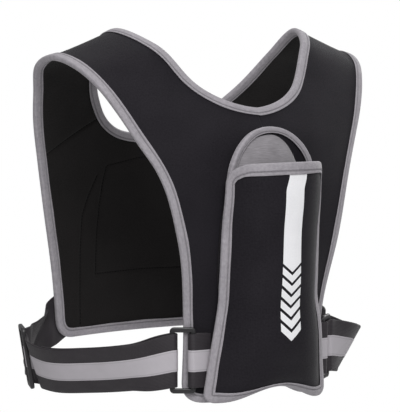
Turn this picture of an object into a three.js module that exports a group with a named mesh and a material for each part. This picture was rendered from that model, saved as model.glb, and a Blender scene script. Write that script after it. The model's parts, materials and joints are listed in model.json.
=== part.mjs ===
// Running vest with a phone pouch, in the shape that it takes when it is worn.
// The body is a ring of neoprene around the neck: two front panels that run over the shoulders to a yoke
// seam, and one back panel. Folded tape binds the neckline and the outer edge. A bulged pouch with a round
// tongue sits on the chest, and a webbing belt runs from a tab on each side of the pouch, through a ring and
// a slider, to the back panel.
// Units are millimetres. +X is the wearer's left, -Y the front and +Z up. The origin lies between the
// shoulder straps.
import * as THREE from "three";

// Cloth, tape and clearances
const WALL = 3;
const POUCH_WALL = 2.2;
const POUCH_BACK_WALL = 2;
const LINING_WALL = 0.8;
const FILM = 0.3;
const TAPE = 0.8;
const GAP = 0.3;
const TAPE_SLACK = 0.45;
const POUCH_SLACK = 0.7;
const BINDING_WIDTH = 9;
const EDGE_IN_FOLD = TAPE + TAPE_SLACK;
const BINDING_MARGIN = 1;
const UNDER_BINDING = BINDING_WIDTH + BINDING_MARGIN;

// Belt webbing and its plastic fittings
const WEBBING = { width: 50, thick: 1.6, stripe: 20 };
const RING = { length: 61.4, bar: 4.8, thick: 3.4, corner: 4 };
const SLIDER = { length: 60, width: 31, rail: 5, bar: 3.5, thick: 2.4, corner: 3, slotRoom: 4 };
const OPENING_CORNER = 1.2;
const ARC_STEPS = 2;

// Colours as they look in the cloth
const BLACK_CLOTH = new THREE.MeshStandardMaterial({ color: 0x1f1d22, roughness: 0.9, metalness: 0 });
const GREY_TAPE = new THREE.MeshStandardMaterial({ color: 0x8c888d, roughness: 0.75, metalness: 0 });
const GREY_LINING = new THREE.MeshStandardMaterial({ color: 0x86858a, roughness: 0.95, metalness: 0 });
const SILVER_FILM = new THREE.MeshStandardMaterial({ color: 0xd9d9de, roughness: 0.45, metalness: 0.1 });
const BLACK_WEBBING = new THREE.MeshStandardMaterial({ color: 0x2a272b, roughness: 0.85, metalness: 0 });
const GREY_STRIPE = new THREE.MeshStandardMaterial({ color: 0x98949b, roughness: 0.5, metalness: 0.1 });
const BLACK_PLASTIC = new THREE.MeshStandardMaterial({ color: 0x1b1b1d, roughness: 0.4, metalness: 0 });

// Sections of the worn shape, from the front hem over the shoulder to the back hem. Each row is a parabola
// from the middle plane to the side edge. Over the neck hole the middle is only there to carry the section.
const SECTIONS = [
  { name: "front hem", midY: -100, midZ: -345, edgeX: 80, edgeY: -77, edgeZ: -345 },
  { name: "front waist", midY: -102, midZ: -268, edgeX: 79.5, edgeY: -80, edgeZ: -268 },
  { name: "front ribs", midY: -103, midZ: -191, edgeX: 93, edgeY: -90.5, edgeZ: -191 },
  { name: "front chest", midY: -105, midZ: -130, edgeX: 111, edgeY: -83.5, edgeZ: -130 },
  { name: "front armhole", midY: -100, midZ: -102.5, edgeX: 126.5, edgeY: -72.5, edgeZ: -102 },
  { name: "front neck", midY: -86, midZ: -77, edgeX: 139.5, edgeY: -63.5, edgeZ: -78 },
  { name: "strap foot", midY: -69, midZ: -50.5, edgeX: 152, edgeY: -51, edgeZ: -55 },
  { name: "strap front", midY: -46.5, midZ: -9, edgeX: 165.5, edgeY: -29, edgeZ: -35 },
  { name: "shoulder", midY: -4, midZ: 11.5, edgeX: 172, edgeY: -1, edgeZ: -27.5 },
  { name: "strap back", midY: 31.5, midZ: -21, edgeX: 170.5, edgeY: 29.5, edgeZ: -36.5 },
  { name: "blade top", midY: 62, midZ: -55.5, edgeX: 158.5, edgeY: 52, edgeZ: -60.5 },
  { name: "back neck", midY: 88, midZ: -88, edgeX: 150.5, edgeY: 65, edgeZ: -90 },
  { name: "back armhole", midY: 97, midZ: -125, edgeX: 139.5, edgeY: 76.5, edgeZ: -126 },
  { name: "back ribs", midY: 103, midZ: -168, edgeX: 128.5, edgeY: 85.5, edgeZ: -168 },
  { name: "back waist", midY: 105, midZ: -250, edgeX: 112.5, edgeY: 93.5, edgeZ: -250 },
  { name: "back hem", midY: 104, midZ: -301, edgeX: 108, edgeY: 95, edgeZ: -302.5 },
];
// The hollow of a shoulder strap between its taped edges: depth, where it starts as a share of the section,
// and reach along the strap
const STRAP_HOLLOW = { depth: 2.5, from: 0.36, reach: 70 };
// The front hem rises in an arch under the pouch
const FRONT_ARCH = { rise: 15.5, half: 56 };
const HEM_CORNER = 20;
const STRAP_HALF = 90;
const OUTLINE_STEPS = { hem: 4, corner: 5, side: 10, strap: 14, yoke: 3, back: 6 };

// The neckline around the top of the shoulders, as a radius in the flat pattern, with the angle in degrees
// from the front
const NECKLINE = [
  { angle: 0, radius: 102.5 },
  { angle: 30, radius: 97.5 },
  { angle: 57, radius: 91 },
  { angle: 90, radius: 102.5 },
  { angle: 112, radius: 106.5 },
  { angle: 140, radius: 119.5 },
  { angle: 162, radius: 133.5 },
  { angle: 180, radius: 132.5 },
];
// The yoke seam on the back runs from this angle on the neckline to this length behind the shoulder on the
// outer edge
const YOKE = { neckAngle: 151, edgeBehind: 154 };

// The pouch on the flat pattern, by height above the front hem: half width, how far the face stands out in
// the middle, how far it sags there, how far its side edges are lifted off the back, and how far the back's
// edge lies inside them
const POUCH = [
  { up: 0, half: 63.5, depth: 1.5, sag: 0, lift: 4.4, tuck: 5 },
  { up: 9, half: 63.5, depth: 12, sag: 4.5, lift: 4.4, tuck: 5 },
  { up: 30, half: 61, depth: 21, sag: 4.5, lift: 4.2, tuck: 5 },
  { up: 75, half: 55.5, depth: 25.5, sag: 1, lift: 4, tuck: 5 },
  { up: 95, half: 53.5, depth: 28.5, sag: 0, lift: 1, tuck: 3 },
  { up: 115, half: 54, depth: 29.8, sag: 0, lift: 0, tuck: 0.6 },
  { up: 165, half: 54, depth: 29.6, sag: 0, lift: 0, tuck: 0.6 },
  { up: 195, half: 52.5, depth: 28.5, sag: 0, lift: 2.2, tuck: 0.6 },
  { up: 220, half: 51, depth: 28.5, sag: 0, lift: 2.6, tuck: 0.6 },
];
const POUCH_TOP = 220;
const POUCH_FOOT = 2;
const POUCH_TOP_CORNER = 17;
const POUCH_FOOT_CORNER = 9;
const POUCH_ROUNDING = 0.35;
const BACK_FLARE = 0.2;
const TONGUE = { foot: 200, half: 48, top: 252.5, steps: 20 };

// The reflective stripe on the pouch and the chevrons below it
const STRIPE = { half: 8.8, top: 210.4, foot: 131.5, point: 8.5, steps: 7 };
const CHEVRON = { count: 6, pitch: 10, gap: 3.2 };

// The belt on the wearer's left, from the ring to the back panel: the place of its middle line, and how many
// degrees its top leans outwards
const BELT = [
  { name: "ring", x: 90.5, y: -78.5, z: -304, lean: 10 },
  { name: "front", x: 121, y: -65.5, z: -309, lean: 24 },
  { name: "flank", x: 151, y: -31, z: -314, lean: 29 },
  { name: "side", x: 170.5, y: 6, z: -316, lean: 27 },
  { name: "slider", x: 169, y: 51, z: -309, lean: 9 },
  { name: "rear", x: 150, y: 79, z: -299.5, lean: -9 },
  { name: "back edge", x: 121.5, y: 103, z: -290.5, lean: -11 },
];
// The belt's end on the outside of the back panel: places across the panel and heights above its hem
const SEWN = [
  { x: 107, up: 18 },
  { x: 97, up: 23 },
  { x: 82, up: 31 },
];
const SEWN_ON = { lean: -2, off: 0.4 };
const BELT_LAYERS = { apart: 2.2, settle: 40 };
// The tab on the front panel: height of its middle, and where its lower layer, bar and upper layer lie
// across the panel
const TAB = { up: 41, underX: 59, underSteps: 3, barX: 71, overX: 57, overSteps: 2, overDrop: -1.6 };
// Lengths from the ring where the belt's layers close up, and steps up to the slider, through it and
// behind it
const NEAR_RING = [0, 5, 12, 20, 30];
const PAST_RING = 42;
const BELT_STEPS = { before: 5, weave: 16, behind: 10 };

// A smooth curve through each column of a table, read by the table's key column
function curveThrough(rows, key) {
  const at = rows.map((row) => row[key]);
  const columns = Object.keys(rows[0]).filter((name) => name !== key && typeof rows[0][name] === "number");
  const slopes = {};
  for (const name of columns) {
    const rise = (i) => (rows[i + 1][name] - rows[i][name]) / (at[i + 1] - at[i]);
    slopes[name] = rows.map((row, i) => {
      if (i === 0) return rise(0);
      if (i === rows.length - 1) return rise(i - 1);
      const before = at[i] - at[i - 1];
      const after = at[i + 1] - at[i];
      return (rise(i - 1) * after + rise(i) * before) / (before + after);
    });
  }
  return (value) => {
    let i = 0;
    while (i < rows.length - 2 && value > at[i + 1]) i += 1;
    const span = at[i + 1] - at[i];
    const f = Math.min(1, Math.max(0, (value - at[i]) / span));
    const past = value - (at[i] + f * span);
    const found = {};
    for (const name of columns) {
      const [a, b] = [rows[i][name], rows[i + 1][name]];
      const [ma, mb] = [slopes[name][i] * span, slopes[name][i + 1] * span];
      const ends = a * (2 * f ** 3 - 3 * f ** 2 + 1) + b * (3 * f ** 2 - 2 * f ** 3);
      const bends = ma * (f ** 3 - 2 * f ** 2 + f) + mb * (f ** 3 - f ** 2);
      found[name] = ends + bends + past * (f === 0 ? slopes[name][i] : slopes[name][i + 1]);
    }
    return found;
  };
}

// The flat pattern: x across and t along, where t is the mean length of the sections' middle and edge lines
function withLengths(rows) {
  let along = 0;
  return rows.map((row, i) => {
    if (i > 0) {
      const last = rows[i - 1];
      const middle = Math.hypot(row.midY - last.midY, row.midZ - last.midZ);
      const edge = Math.hypot(row.edgeY - last.edgeY, row.edgeZ - last.edgeZ);
      along += (middle + edge) / 2;
    }
    return { ...row, along };
  });
}
const sections = withLengths(SECTIONS);
const sectionAt = curveThrough(sections, "along");
const PATTERN_LENGTH = sections[sections.length - 1].along;
const SHOULDER_T = sections.find((row) => row.name === "shoulder").along;
const YOKE_T = SHOULDER_T + YOKE.edgeBehind;

// How far a shoulder strap sinks between its two taped edges, most on the shoulder line
function strapHollow(share, t) {
  const inside = 1 - STRAP_HOLLOW.from;
  const across = (4 * Math.max(0, (share - STRAP_HOLLOW.from) * (1 - share))) / inside ** 2;
  const along = Math.max(0, 1 - ((t - SHOULDER_T) / STRAP_HOLLOW.reach) ** 2) ** 2;
  return STRAP_HOLLOW.depth * across * along;
}

// The middle of the body's cloth at a point of the pattern
function body(x, t) {
  const s = sectionAt(t);
  const share = (x / s.edgeX) ** 2;
  const z = s.midZ + (s.edgeZ - s.midZ) * share - strapHollow(share, t);
  return new THREE.Vector3(x, s.midY + (s.edgeY - s.midY) * share, z);
}

// A surface's point, its slopes along the pattern and its outward normal
const SLOPE_STEP = 0.5;
function frameOn(surface, x, t) {
  const step = SLOPE_STEP;
  const across = surface(x + step, t).sub(surface(x - step, t)).divideScalar(2 * step);
  const along = surface(x, t + step).sub(surface(x, t - step)).divideScalar(2 * step);
  return { point: surface(x, t), across, along, normal: across.clone().cross(along).normalize() };
}

// The surface that stands off another by a height that may vary over the pattern
function standingOff(surface, height) {
  return (x, t) => {
    const { point, normal } = frameOn(surface, x, t);
    return point.addScaledVector(normal, typeof height === "number" ? height : height(x, t));
  };
}

// The pattern point that lies a distance from another, in a direction along the surface
const WALK_STEPS = 3;
function walk(surface, [x, t], direction, distance) {
  for (let i = 0; i < WALK_STEPS; i += 1) {
    const { across, along } = frameOn(surface, x, t);
    const [aa, ab, bb] = [across.dot(across), across.dot(along), along.dot(along)];
    const [da, db] = [direction.dot(across), direction.dot(along)];
    const scale = distance / WALK_STEPS / (aa * bb - ab * ab);
    x += (da * bb - db * ab) * scale;
    t += (db * aa - da * ab) * scale;
  }
  return [x, t];
}

// For each point of an edge line on a surface: its frame and the direction that leads inwards from the edge
function edgeFrames(surface, line, closed, inside) {
  const n = line.length;
  const points = line.map(([x, t]) => surface(x, t));
  return line.map(([x, t], i) => {
    const next = closed ? points[(i + 1) % n] : points[Math.min(i + 1, n - 1)];
    const last = closed ? points[(i + n - 1) % n] : points[Math.max(i - 1, 0)];
    const { normal } = frameOn(surface, x, t);
    const inward = normal.clone().cross(next.clone().sub(last)).normalize();
    return { at: [x, t], normal, inward: inward.multiplyScalar(inside) };
  });
}
const insetLine = (surface, frames, distance) => frames.map((f) => walk(surface, f.at, f.inward, distance));

// Two triangles for four corners, split along the shorter diagonal so that neighbouring layers split alike
function splitQuad(position, a, b, c, d) {
  const apart = (i, j) =>
    Math.hypot(...[0, 1, 2].map((axis) => position[3 * i + axis] - position[3 * j + axis]));
  return apart(a, c) <= apart(b, d) ? [a, b, c, a, c, d] : [a, b, d, b, c, d];
}

// A closed solid between two grids of points of the same size, with a rim around them
function solidBetween(outer, inner) {
  const rows = outer.length;
  const columns = outer[0].length;
  const position = [...outer.flat(), ...inner.flat()].flatMap((p) => [p.x, p.y, p.z]);
  const o = (i, j) => i * columns + j;
  const n = (i, j) => rows * columns + i * columns + j;
  const index = [];
  const quad = (a, b, c, d) => index.push(...splitQuad(position, a, b, c, d));
  for (let i = 0; i < rows - 1; i += 1) {
    for (let j = 0; j < columns - 1; j += 1) {
      quad(o(i, j), o(i + 1, j), o(i + 1, j + 1), o(i, j + 1));
      quad(n(i, j), n(i, j + 1), n(i + 1, j + 1), n(i + 1, j));
    }
    quad(o(i + 1, 0), o(i, 0), n(i, 0), n(i + 1, 0));
    quad(o(i, columns - 1), o(i + 1, columns - 1), n(i + 1, columns - 1), n(i, columns - 1));
  }
  for (let j = 0; j < columns - 1; j += 1) {
    quad(o(0, j), o(0, j + 1), n(0, j + 1), n(0, j));
    quad(o(rows - 1, j + 1), o(rows - 1, j), n(rows - 1, j), n(rows - 1, j + 1));
  }
  return facingOut(position, index);
}

// A closed solid from a closed section carried along a line: sections is a list of equal rings of points
function solidAlong(rings, closed) {
  const sides = rings[0].length;
  const position = rings.flat().flatMap((p) => [p.x, p.y, p.z]);
  const index = [];
  const spans = closed ? rings.length : rings.length - 1;
  for (let i = 0; i < spans; i += 1) {
    const k = (i + 1) % rings.length;
    for (let j = 0; j < sides; j += 1) {
      const m = (j + 1) % sides;
      index.push(...splitQuad(position, i * sides + j, k * sides + j, k * sides + m, i * sides + m));
    }
  }
  if (!closed) {
    const flat = sectionTriangles(rings[0]);
    const last = (rings.length - 1) * sides;
    for (const [a, b, c] of flat) index.push(a, b, c, last + a, last + c, last + b);
  }
  return facingOut(position, index);
}

// Triangles that fill a flat ring of points, as indices into it
function sectionTriangles(ring) {
  const u = ring[1].clone().sub(ring[0]).normalize();
  const area = new THREE.Vector3();
  for (let i = 1; i < ring.length - 1; i += 1) {
    area.add(ring[i].clone().sub(ring[0]).cross(ring[i + 1].clone().sub(ring[0])));
  }
  const v = area.normalize().cross(u);
  const flat = ring.map((p) => {
    const away = p.clone().sub(ring[0]);
    return new THREE.Vector2(away.dot(u), away.dot(v));
  });
  return THREE.ShapeUtils.triangulateShape(flat, []);
}

// A geometry whose faces are turned round if they enclose a negative volume
function facingOut(position, index) {
  let volume = 0;
  const corner = (k) => new THREE.Vector3(position[3 * k], position[3 * k + 1], position[3 * k + 2]);
  for (let i = 0; i < index.length; i += 3) {
    volume += corner(index[i]).dot(corner(index[i + 1]).cross(corner(index[i + 2])));
  }
  const swapWith = [0, 1, -1];
  const facing = volume < 0 ? index.map((_, i) => index[i + swapWith[i % 3]]) : index;
  const geometry = new THREE.BufferGeometry();
  geometry.setAttribute("position", new THREE.Float32BufferAttribute(position, 3));
  geometry.setIndex(facing);
  geometry.computeVertexNormals();
  return geometry;
}

// A wall of cloth around the middle surface, over a grid of pattern points
function clothWall(surface, grid, thick) {
  const layer = (side) =>
    grid.map((row) =>
      row.map(([x, t]) => {
        const { point, normal } = frameOn(surface, x, t);
        return point.addScaledVector(normal, (side * thick) / 2);
      }),
    );
  return solidBetween(layer(1), layer(-1));
}

// Folded tape around an edge of cloth that is thick mm thick. The section is a U whose legs lie along both
// faces.
function foldedTape(surface, frames, closed, thick, slack = TAPE_SLACK) {
  const inner = thick / 2 + slack;
  const outer = inner + TAPE;
  const section = [
    { inset: BINDING_WIDTH, height: outer },
    { inset: 0, height: outer },
    { inset: 0, height: -outer },
    { inset: BINDING_WIDTH, height: -outer },
    { inset: BINDING_WIDTH, height: -inner },
    { inset: TAPE, height: -inner },
    { inset: TAPE, height: inner },
    { inset: BINDING_WIDTH, height: inner },
  ];
  const rings = frames.map((f) =>
    section.map(({ inset, height }) => {
      const { point, normal } = frameOn(surface, ...walk(surface, f.at, f.inward, inset));
      return point.addScaledVector(normal, height);
    }),
  );
  return solidAlong(rings, closed);
}

const spaced = (from, to, count) => Array.from({ length: count }, (_, i) => from + ((to - from) * i) / count);
const lerp = (a, b, f) => a + (b - a) * f;
const smooth = (f) => (f <= 0 ? 0 : f >= 1 ? 1 : f * f * (3 - 2 * f));
const mixed = (p, q, f) => [lerp(p[0], q[0], f), lerp(p[1], q[1], f)];
const mirrored = (line) => line.map(([x, t]) => [-x, t]);

const vest = new THREE.Group();
function add(name, geometry, material) {
  const mesh = new THREE.Mesh(geometry, material);
  mesh.name = name;
  vest.add(mesh);
  return mesh;
}

// Outlines on the pattern, for the wearer's left half, from the middle of the front hem to the middle of the
// back hem
function frontHem(x) {
  const share = Math.min(1, Math.abs(x) / FRONT_ARCH.half);
  return (FRONT_ARCH.rise * (1 + Math.cos(Math.PI * share))) / 2;
}
function outerHalf() {
  const frontX = sectionAt(0).edgeX;
  const backX = sectionAt(PATTERN_LENGTH).edgeX;
  const corner = (...controls) => {
    const curve = new THREE.QuadraticBezierCurve(...controls.map((c) => new THREE.Vector2(...c)));
    return curve.getPoints(OUTLINE_STEPS.corner).slice(0, -1).map((p) => [p.x, p.y]);
  };
  const side = (t) => [sectionAt(t).edgeX, t];
  const [low, high] = [HEM_CORNER, PATTERN_LENGTH - HEM_CORNER];
  const strap = [SHOULDER_T - STRAP_HALF, SHOULDER_T + STRAP_HALF];
  const startX = frontX - HEM_CORNER;
  const endX = backX - HEM_CORNER;
  return [
    ...spaced(0, startX, OUTLINE_STEPS.hem).map((x) => [x, frontHem(x)]),
    ...corner([startX, frontHem(startX)], [frontX, 0], side(low)),
    ...spaced(low, strap[0], OUTLINE_STEPS.side).map(side),
    ...spaced(strap[0], strap[1], OUTLINE_STEPS.strap).map(side),
    ...spaced(strap[1], YOKE_T, OUTLINE_STEPS.yoke).map(side),
    ...spaced(YOKE_T, high, OUTLINE_STEPS.back).map(side),
    ...corner(side(high), [backX, PATTERN_LENGTH], [endX, PATTERN_LENGTH]),
    ...spaced(endX, 0, OUTLINE_STEPS.hem).map((x) => [x, PATTERN_LENGTH]),
    [0, PATTERN_LENGTH],
  ];
}
const neckRadius = curveThrough(NECKLINE, "angle");
function neckPoint(angle) {
  const { radius } = neckRadius(angle);
  const a = THREE.MathUtils.degToRad(angle);
  return [radius * Math.sin(a), SHOULDER_T - radius * Math.cos(a)];
}
const angleOf = ([x, t]) => THREE.MathUtils.radToDeg(Math.atan2(x, SHOULDER_T - t));
const yokeEdgeAngle = angleOf([sectionAt(YOKE_T).edgeX, YOKE_T]);
function neckAngleFor(edgeAngle) {
  if (edgeAngle <= yokeEdgeAngle) return (edgeAngle * YOKE.neckAngle) / yokeEdgeAngle;
  return 180 - ((180 - edgeAngle) * (180 - YOKE.neckAngle)) / (180 - yokeEdgeAngle);
}
const wholeLoop = (half) => [...half, ...mirrored(half.slice(1, -1)).reverse()];

const outerLine = outerHalf();
const neckLine = outerLine.map((p) => neckPoint(neckAngleFor(angleOf(p))));
const outerFrames = edgeFrames(body, wholeLoop(outerLine), true, 1);
const neckFrames = edgeFrames(body, wholeLoop(neckLine), true, -1);

// Lines along each rung of the body, from the neckline to the outer edge, with the strips under the tape
// kept apart
const RUNG_STEPS = 3;
const rungLines = [
  insetLine(body, neckFrames, EDGE_IN_FOLD),
  insetLine(body, neckFrames, UNDER_BINDING),
  insetLine(body, outerFrames, UNDER_BINDING),
  insetLine(body, outerFrames, EDGE_IN_FOLD),
];
const rungs = rungLines[0].map((_, i) => {
  const [neckEdge, neckIn, outerIn, outerEdge] = rungLines.map((line) => line[i]);
  const between = spaced(0, 1, RUNG_STEPS).map((f) => mixed(neckIn, outerIn, f));
  return [neckEdge, ...between, outerIn, outerEdge];
});
const HALF_COUNT = outerLine.length;
const yokeIndex = outerLine.findIndex((p) => angleOf(p) >= yokeEdgeAngle);

// Seams leave a gap of GAP: the last rung of a panel is moved back towards the one before it
function shortened(panelRungs) {
  const pulled = (rung, other) =>
    rung.map((p, j) => mixed(p, other[j], GAP / 2 / body(...p).distanceTo(body(...other[j]))));
  const last = panelRungs.length - 1;
  return panelRungs.map((rung, i) => {
    if (i === 0) return pulled(rung, panelRungs[1]);
    return i === last ? pulled(rung, panelRungs[last - 1]) : rung;
  });
}
const frontRungs = rungs.slice(0, yokeIndex + 1);
const backRungs = rungs.slice(yokeIndex, 2 * HALF_COUNT - 2 - yokeIndex + 1);
add("front_panel_left", clothWall(body, shortened(frontRungs), WALL), BLACK_CLOTH);
add("front_panel_right", clothWall(body, shortened(frontRungs.map(mirrored)), WALL), BLACK_CLOTH);
add("back_panel", clothWall(body, shortened(backRungs), WALL), BLACK_CLOTH);
const NECK_SPACING = 7;
let lastKept = new THREE.Vector3();
const neckTapeFrames = neckFrames.filter((f) => {
  const place = body(...f.at);
  const kept = f.at[0] === 0 || place.distanceTo(lastKept) > NECK_SPACING;
  if (kept) lastKept = place;
  return kept;
});
add("neck_binding", foldedTape(body, neckTapeFrames, true, WALL), GREY_TAPE);
add("edge_binding", foldedTape(body, outerFrames, true, WALL), GREY_TAPE);

// Heights above the middle of the body's cloth: what lies under the pouch, its back, lining and face
const OVER_BINDING = WALL / 2 + TAPE_SLACK + TAPE + GAP;
const POUCH_BACK_MIDDLE = OVER_BINDING + POUCH_BACK_WALL / 2;
const LINING_MIDDLE = OVER_BINDING + POUCH_BACK_WALL + GAP + LINING_WALL / 2;
const POUCH_EDGE_MIDDLE = OVER_BINDING + POUCH_BACK_WALL + GAP + TAPE + POUCH_SLACK + POUCH_WALL / 2;

// The pouch: a face that bulges from its side edges, on a back with a lined tongue
const pouchAt = curveThrough(POUCH, "up");
function pouchFace(x, t) {
  const { half, lift } = pouchAt(t);
  const { depth, sag } = pouchAt(t - frontHem(x));
  const share = Math.min(1, (x / half) ** 2);
  const { point, normal } = frameOn(body, x, t);
  const bulge = depth * (1 - share) * (1 + POUCH_ROUNDING * share);
  point.addScaledVector(normal, POUCH_EDGE_MIDDLE + lift + bulge);
  point.z -= sag * (1 - share);
  return point;
}
const pouchBack = standingOff(body, POUCH_BACK_MIDDLE);
const lining = standingOff(body, LINING_MIDDLE);

// The drop of a round corner at a distance from the side edge
const cornerDrop = (fromSide, radius) =>
  fromSide >= radius ? 0 : radius - Math.sqrt(radius ** 2 - (radius - fromSide) ** 2);

// Pattern point of the pouch's face, from the wearer's right (-1) to left (1) and from the foot (0) to the
// mouth (1), with the outline moved inwards by the inset
function pouchPoint(side, up, inset = 0) {
  const half = lerp(pouchAt(POUCH_FOOT).half, pouchAt(POUCH_TOP).half, up) - inset;
  const fromSide = half * (1 - Math.abs(side));
  const foot = POUCH_FOOT + inset + frontHem(side * half) + cornerDrop(fromSide, POUCH_FOOT_CORNER - inset);
  const top = POUCH_TOP - inset - cornerDrop(fromSide, POUCH_TOP_CORNER - inset);
  const t = lerp(foot, top, up);
  return [side * (pouchAt(t).half - inset), t];
}
const HALF_STEPS = [0.25, 0.5, 0.7, 0.84, 0.94, 1];
const SIDE_STEPS = [...HALF_STEPS.map((side) => -side).reverse(), 0, ...HALF_STEPS];
const UP_STEPS = [0, 0.02, 0.045, 0.08, 0.14, 0.23, 0.32, 0.38, 0.43, 0.52, 0.68, 0.84, 0.94, 1];
const pouchLoop = [
  ...UP_STEPS.map((up) => pouchPoint(-1, up)),
  ...SIDE_STEPS.slice(1, -1).map((side) => pouchPoint(side, 1)),
  ...UP_STEPS.map((up) => pouchPoint(1, up)).reverse(),
  ...SIDE_STEPS.slice(1, -1).map((side) => pouchPoint(side, 0)).reverse(),
];
const pouchFrames = edgeFrames(pouchFace, pouchLoop, true, -1);
add("pouch_binding", foldedTape(pouchFace, pouchFrames, true, POUCH_WALL, POUCH_SLACK), GREY_TAPE);

const pouchGrid = UP_STEPS.map((up) => SIDE_STEPS.map((side) => pouchPoint(side, up, EDGE_IN_FOLD)));
add("pouch_face", clothWall(pouchFace, pouchGrid, POUCH_WALL), BLACK_CLOTH);

// The pouch's back rises from the foot to a round tongue behind the mouth
function backPoint(side, up) {
  const top = TONGUE.foot + (TONGUE.top - TONGUE.foot - EDGE_IN_FOLD) * Math.sqrt(1 - side ** 2);
  const t = lerp(POUCH_FOOT + FRONT_ARCH.rise, top, up);
  const { half, tuck } = pouchAt(t);
  const tongueHalf = TONGUE.half - EDGE_IN_FOLD + BACK_FLARE * Math.max(0, TONGUE.foot - t);
  return [side * Math.min(half - tuck, tongueHalf), t];
}
const BACK_SIDES = [-1, -0.96, -0.86, -0.7, -0.5, -0.25, 0, 0.25, 0.5, 0.7, 0.86, 0.96, 1];
const BACK_UPS = [0, 0.12, 0.25, 0.34, 0.43, 0.55, 0.7, 0.76, 0.82, 0.87, 0.92, 0.96, 1];
const LINING = { rows: 7, share: 0.95 };
const backGrid = BACK_UPS.map((up) => BACK_SIDES.map((side) => backPoint(side, up)));
add("pouch_back", clothWall(pouchBack, backGrid, POUCH_BACK_WALL), BLACK_CLOTH);
const liningGrid = backGrid.slice(-LINING.rows).map((row) => row.map(([x, t]) => [x * LINING.share, t]));
add("pouch_lining", clothWall(lining, liningGrid, LINING_WALL), GREY_LINING);

const tongueLine = [...spaced(0, Math.PI, TONGUE.steps), Math.PI].map((a) => [
  TONGUE.half * Math.cos(a),
  TONGUE.foot + (TONGUE.top - TONGUE.foot) * Math.sin(a),
]);
const tongueCloth = POUCH_BACK_WALL + GAP + LINING_WALL;
const tongueMiddle = standingOff(body, OVER_BINDING + tongueCloth / 2);
const tongueFrames = edgeFrames(tongueMiddle, tongueLine, false, 1);
add("tongue_binding", foldedTape(tongueMiddle, tongueFrames, false, tongueCloth), GREY_TAPE);

// Reflective film on the pouch: a stripe with a pointed foot, and chevrons that repeat the point below it
const filmSurface = standingOff(pouchFace, POUCH_WALL / 2 + GAP + FILM / 2);
const FILM_SIDES = [-1, -0.5, 0, 0.5, 1];
function pointedFilm(top, foot, topPoint, steps) {
  const grid = [...spaced(0, 1, steps), 1].map((f) =>
    FILM_SIDES.map((side) => {
      const drop = 1 - Math.abs(side);
      return [side * STRIPE.half, lerp(top - topPoint * drop, foot - STRIPE.point * drop, f)];
    }),
  );
  return clothWall(filmSurface, grid, FILM);
}
add("reflective_stripe", pointedFilm(STRIPE.top, STRIPE.foot, 0, STRIPE.steps), SILVER_FILM);
for (let k = 1; k <= CHEVRON.count; k += 1) {
  const foot = STRIPE.foot - k * CHEVRON.pitch;
  const top = foot + CHEVRON.pitch - CHEVRON.gap;
  add(`chevron_${k}`, pointedFilm(top, foot, STRIPE.point, 1), SILVER_FILM);
}

// A strip of webbing: stations hold a point of its middle line and the direction of its width
function strip(stations, edges, thick, height) {
  const last = stations.length - 1;
  const layer = (side) =>
    stations.map(({ point, across }, i) => {
      const along = stations[Math.min(i + 1, last)].point.clone().sub(stations[Math.max(i - 1, 0)].point);
      const normal = along.cross(across).normalize();
      return edges.map((edge) =>
        point.clone().addScaledVector(across, edge).addScaledVector(normal, height + (side * thick) / 2),
      );
    });
  return solidBetween(layer(1), layer(-1));
}
const flipped = (stations) =>
  stations.map(({ point, across }) => ({
    point: new THREE.Vector3(-point.x, point.y, point.z),
    across: new THREE.Vector3(across.x, -across.y, -across.z),
  }));
const STRIPE_HEIGHT = WEBBING.thick / 2 + GAP + FILM / 2;
const STRIPE_EDGES = [-WEBBING.stripe / 2, WEBBING.stripe / 2];
const WEBBING_EDGES = [-WEBBING.width / 2, ...STRIPE_EDGES, WEBBING.width / 2];
function addPair(name, stations, edges, thick, height, material) {
  add(`${name}_left`, strip(stations, edges, thick, height), material);
  add(`${name}_right`, strip(flipped(stations), edges, thick, height), material);
}

// A frame around the direction of a strip's width: along the strip and out of its face
function stripFrame(point, along, across) {
  const normal = along.clone().cross(across).normalize();
  return { point, across, normal, along: across.clone().cross(normal) };
}

// The tab lies on the front panel beside the pouch and goes round the ring's inner bar
const UP = new THREE.Vector3(0, 0, 1);
const TURN_STEPS = 6;
const HALF_TURN = TURN_STEPS / 2;
const BAR_CLEAR = Math.hypot(RING.bar, RING.thick) / 2 + GAP + WEBBING.thick / 2;
const BAR_TURN = BAR_CLEAR / Math.cos(Math.PI / 2 / TURN_STEPS);
const tabHeight = OVER_BINDING + WEBBING.thick / 2 + GAP;
const barHeight = tabHeight + BAR_TURN;
const onTab = (x, height) => standingOff(body, height)(x, TAB.up);
const innerBar = onTab(TAB.barX, barHeight);
const outerBar = new THREE.Vector3(BELT[0].x, BELT[0].y, innerBar.z);
const ringAlong = outerBar.clone().sub(innerBar).normalize();
const panelRise = body(TAB.barX, TAB.up + WEBBING.width / 2).sub(body(TAB.barX, TAB.up - WEBBING.width / 2));
const ringAcross = panelRise.addScaledVector(ringAlong, -panelRise.dot(ringAlong)).normalize();
function turnRound(frame, count) {
  return spaced(0, Math.PI, count).map((a) => {
    const point = frame.point.clone().addScaledVector(frame.along, -BAR_TURN * Math.sin(a));
    point.addScaledVector(frame.normal, -BAR_TURN * Math.cos(a));
    return { point, across: frame.across };
  });
}
const { across: panelAcross } = frameOn(body, TAB.barX, TAB.up);
const barFrame = stripFrame(innerBar, panelAcross.clone().negate(), ringAcross.clone().negate());
const tabUnder = spaced(TAB.underX, TAB.barX, TAB.underSteps).map((x) => ({
  point: onTab(x, tabHeight),
  across: barFrame.across,
}));
const tabTurn = turnRound(barFrame, TURN_STEPS);
const tabOver = [...spaced(TAB.barX, TAB.overX, TAB.overSteps), TAB.overX].map((x) => ({
  point: onTab(x, barHeight + lerp(TAB.overDrop, BAR_TURN, (x - TAB.overX) / (TAB.barX - TAB.overX))),
  across: barFrame.across,
}));
addPair("tab", [...tabUnder, ...tabTurn, ...tabOver], WEBBING_EDGES, WEBBING.thick, 0, BLACK_WEBBING);
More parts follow.
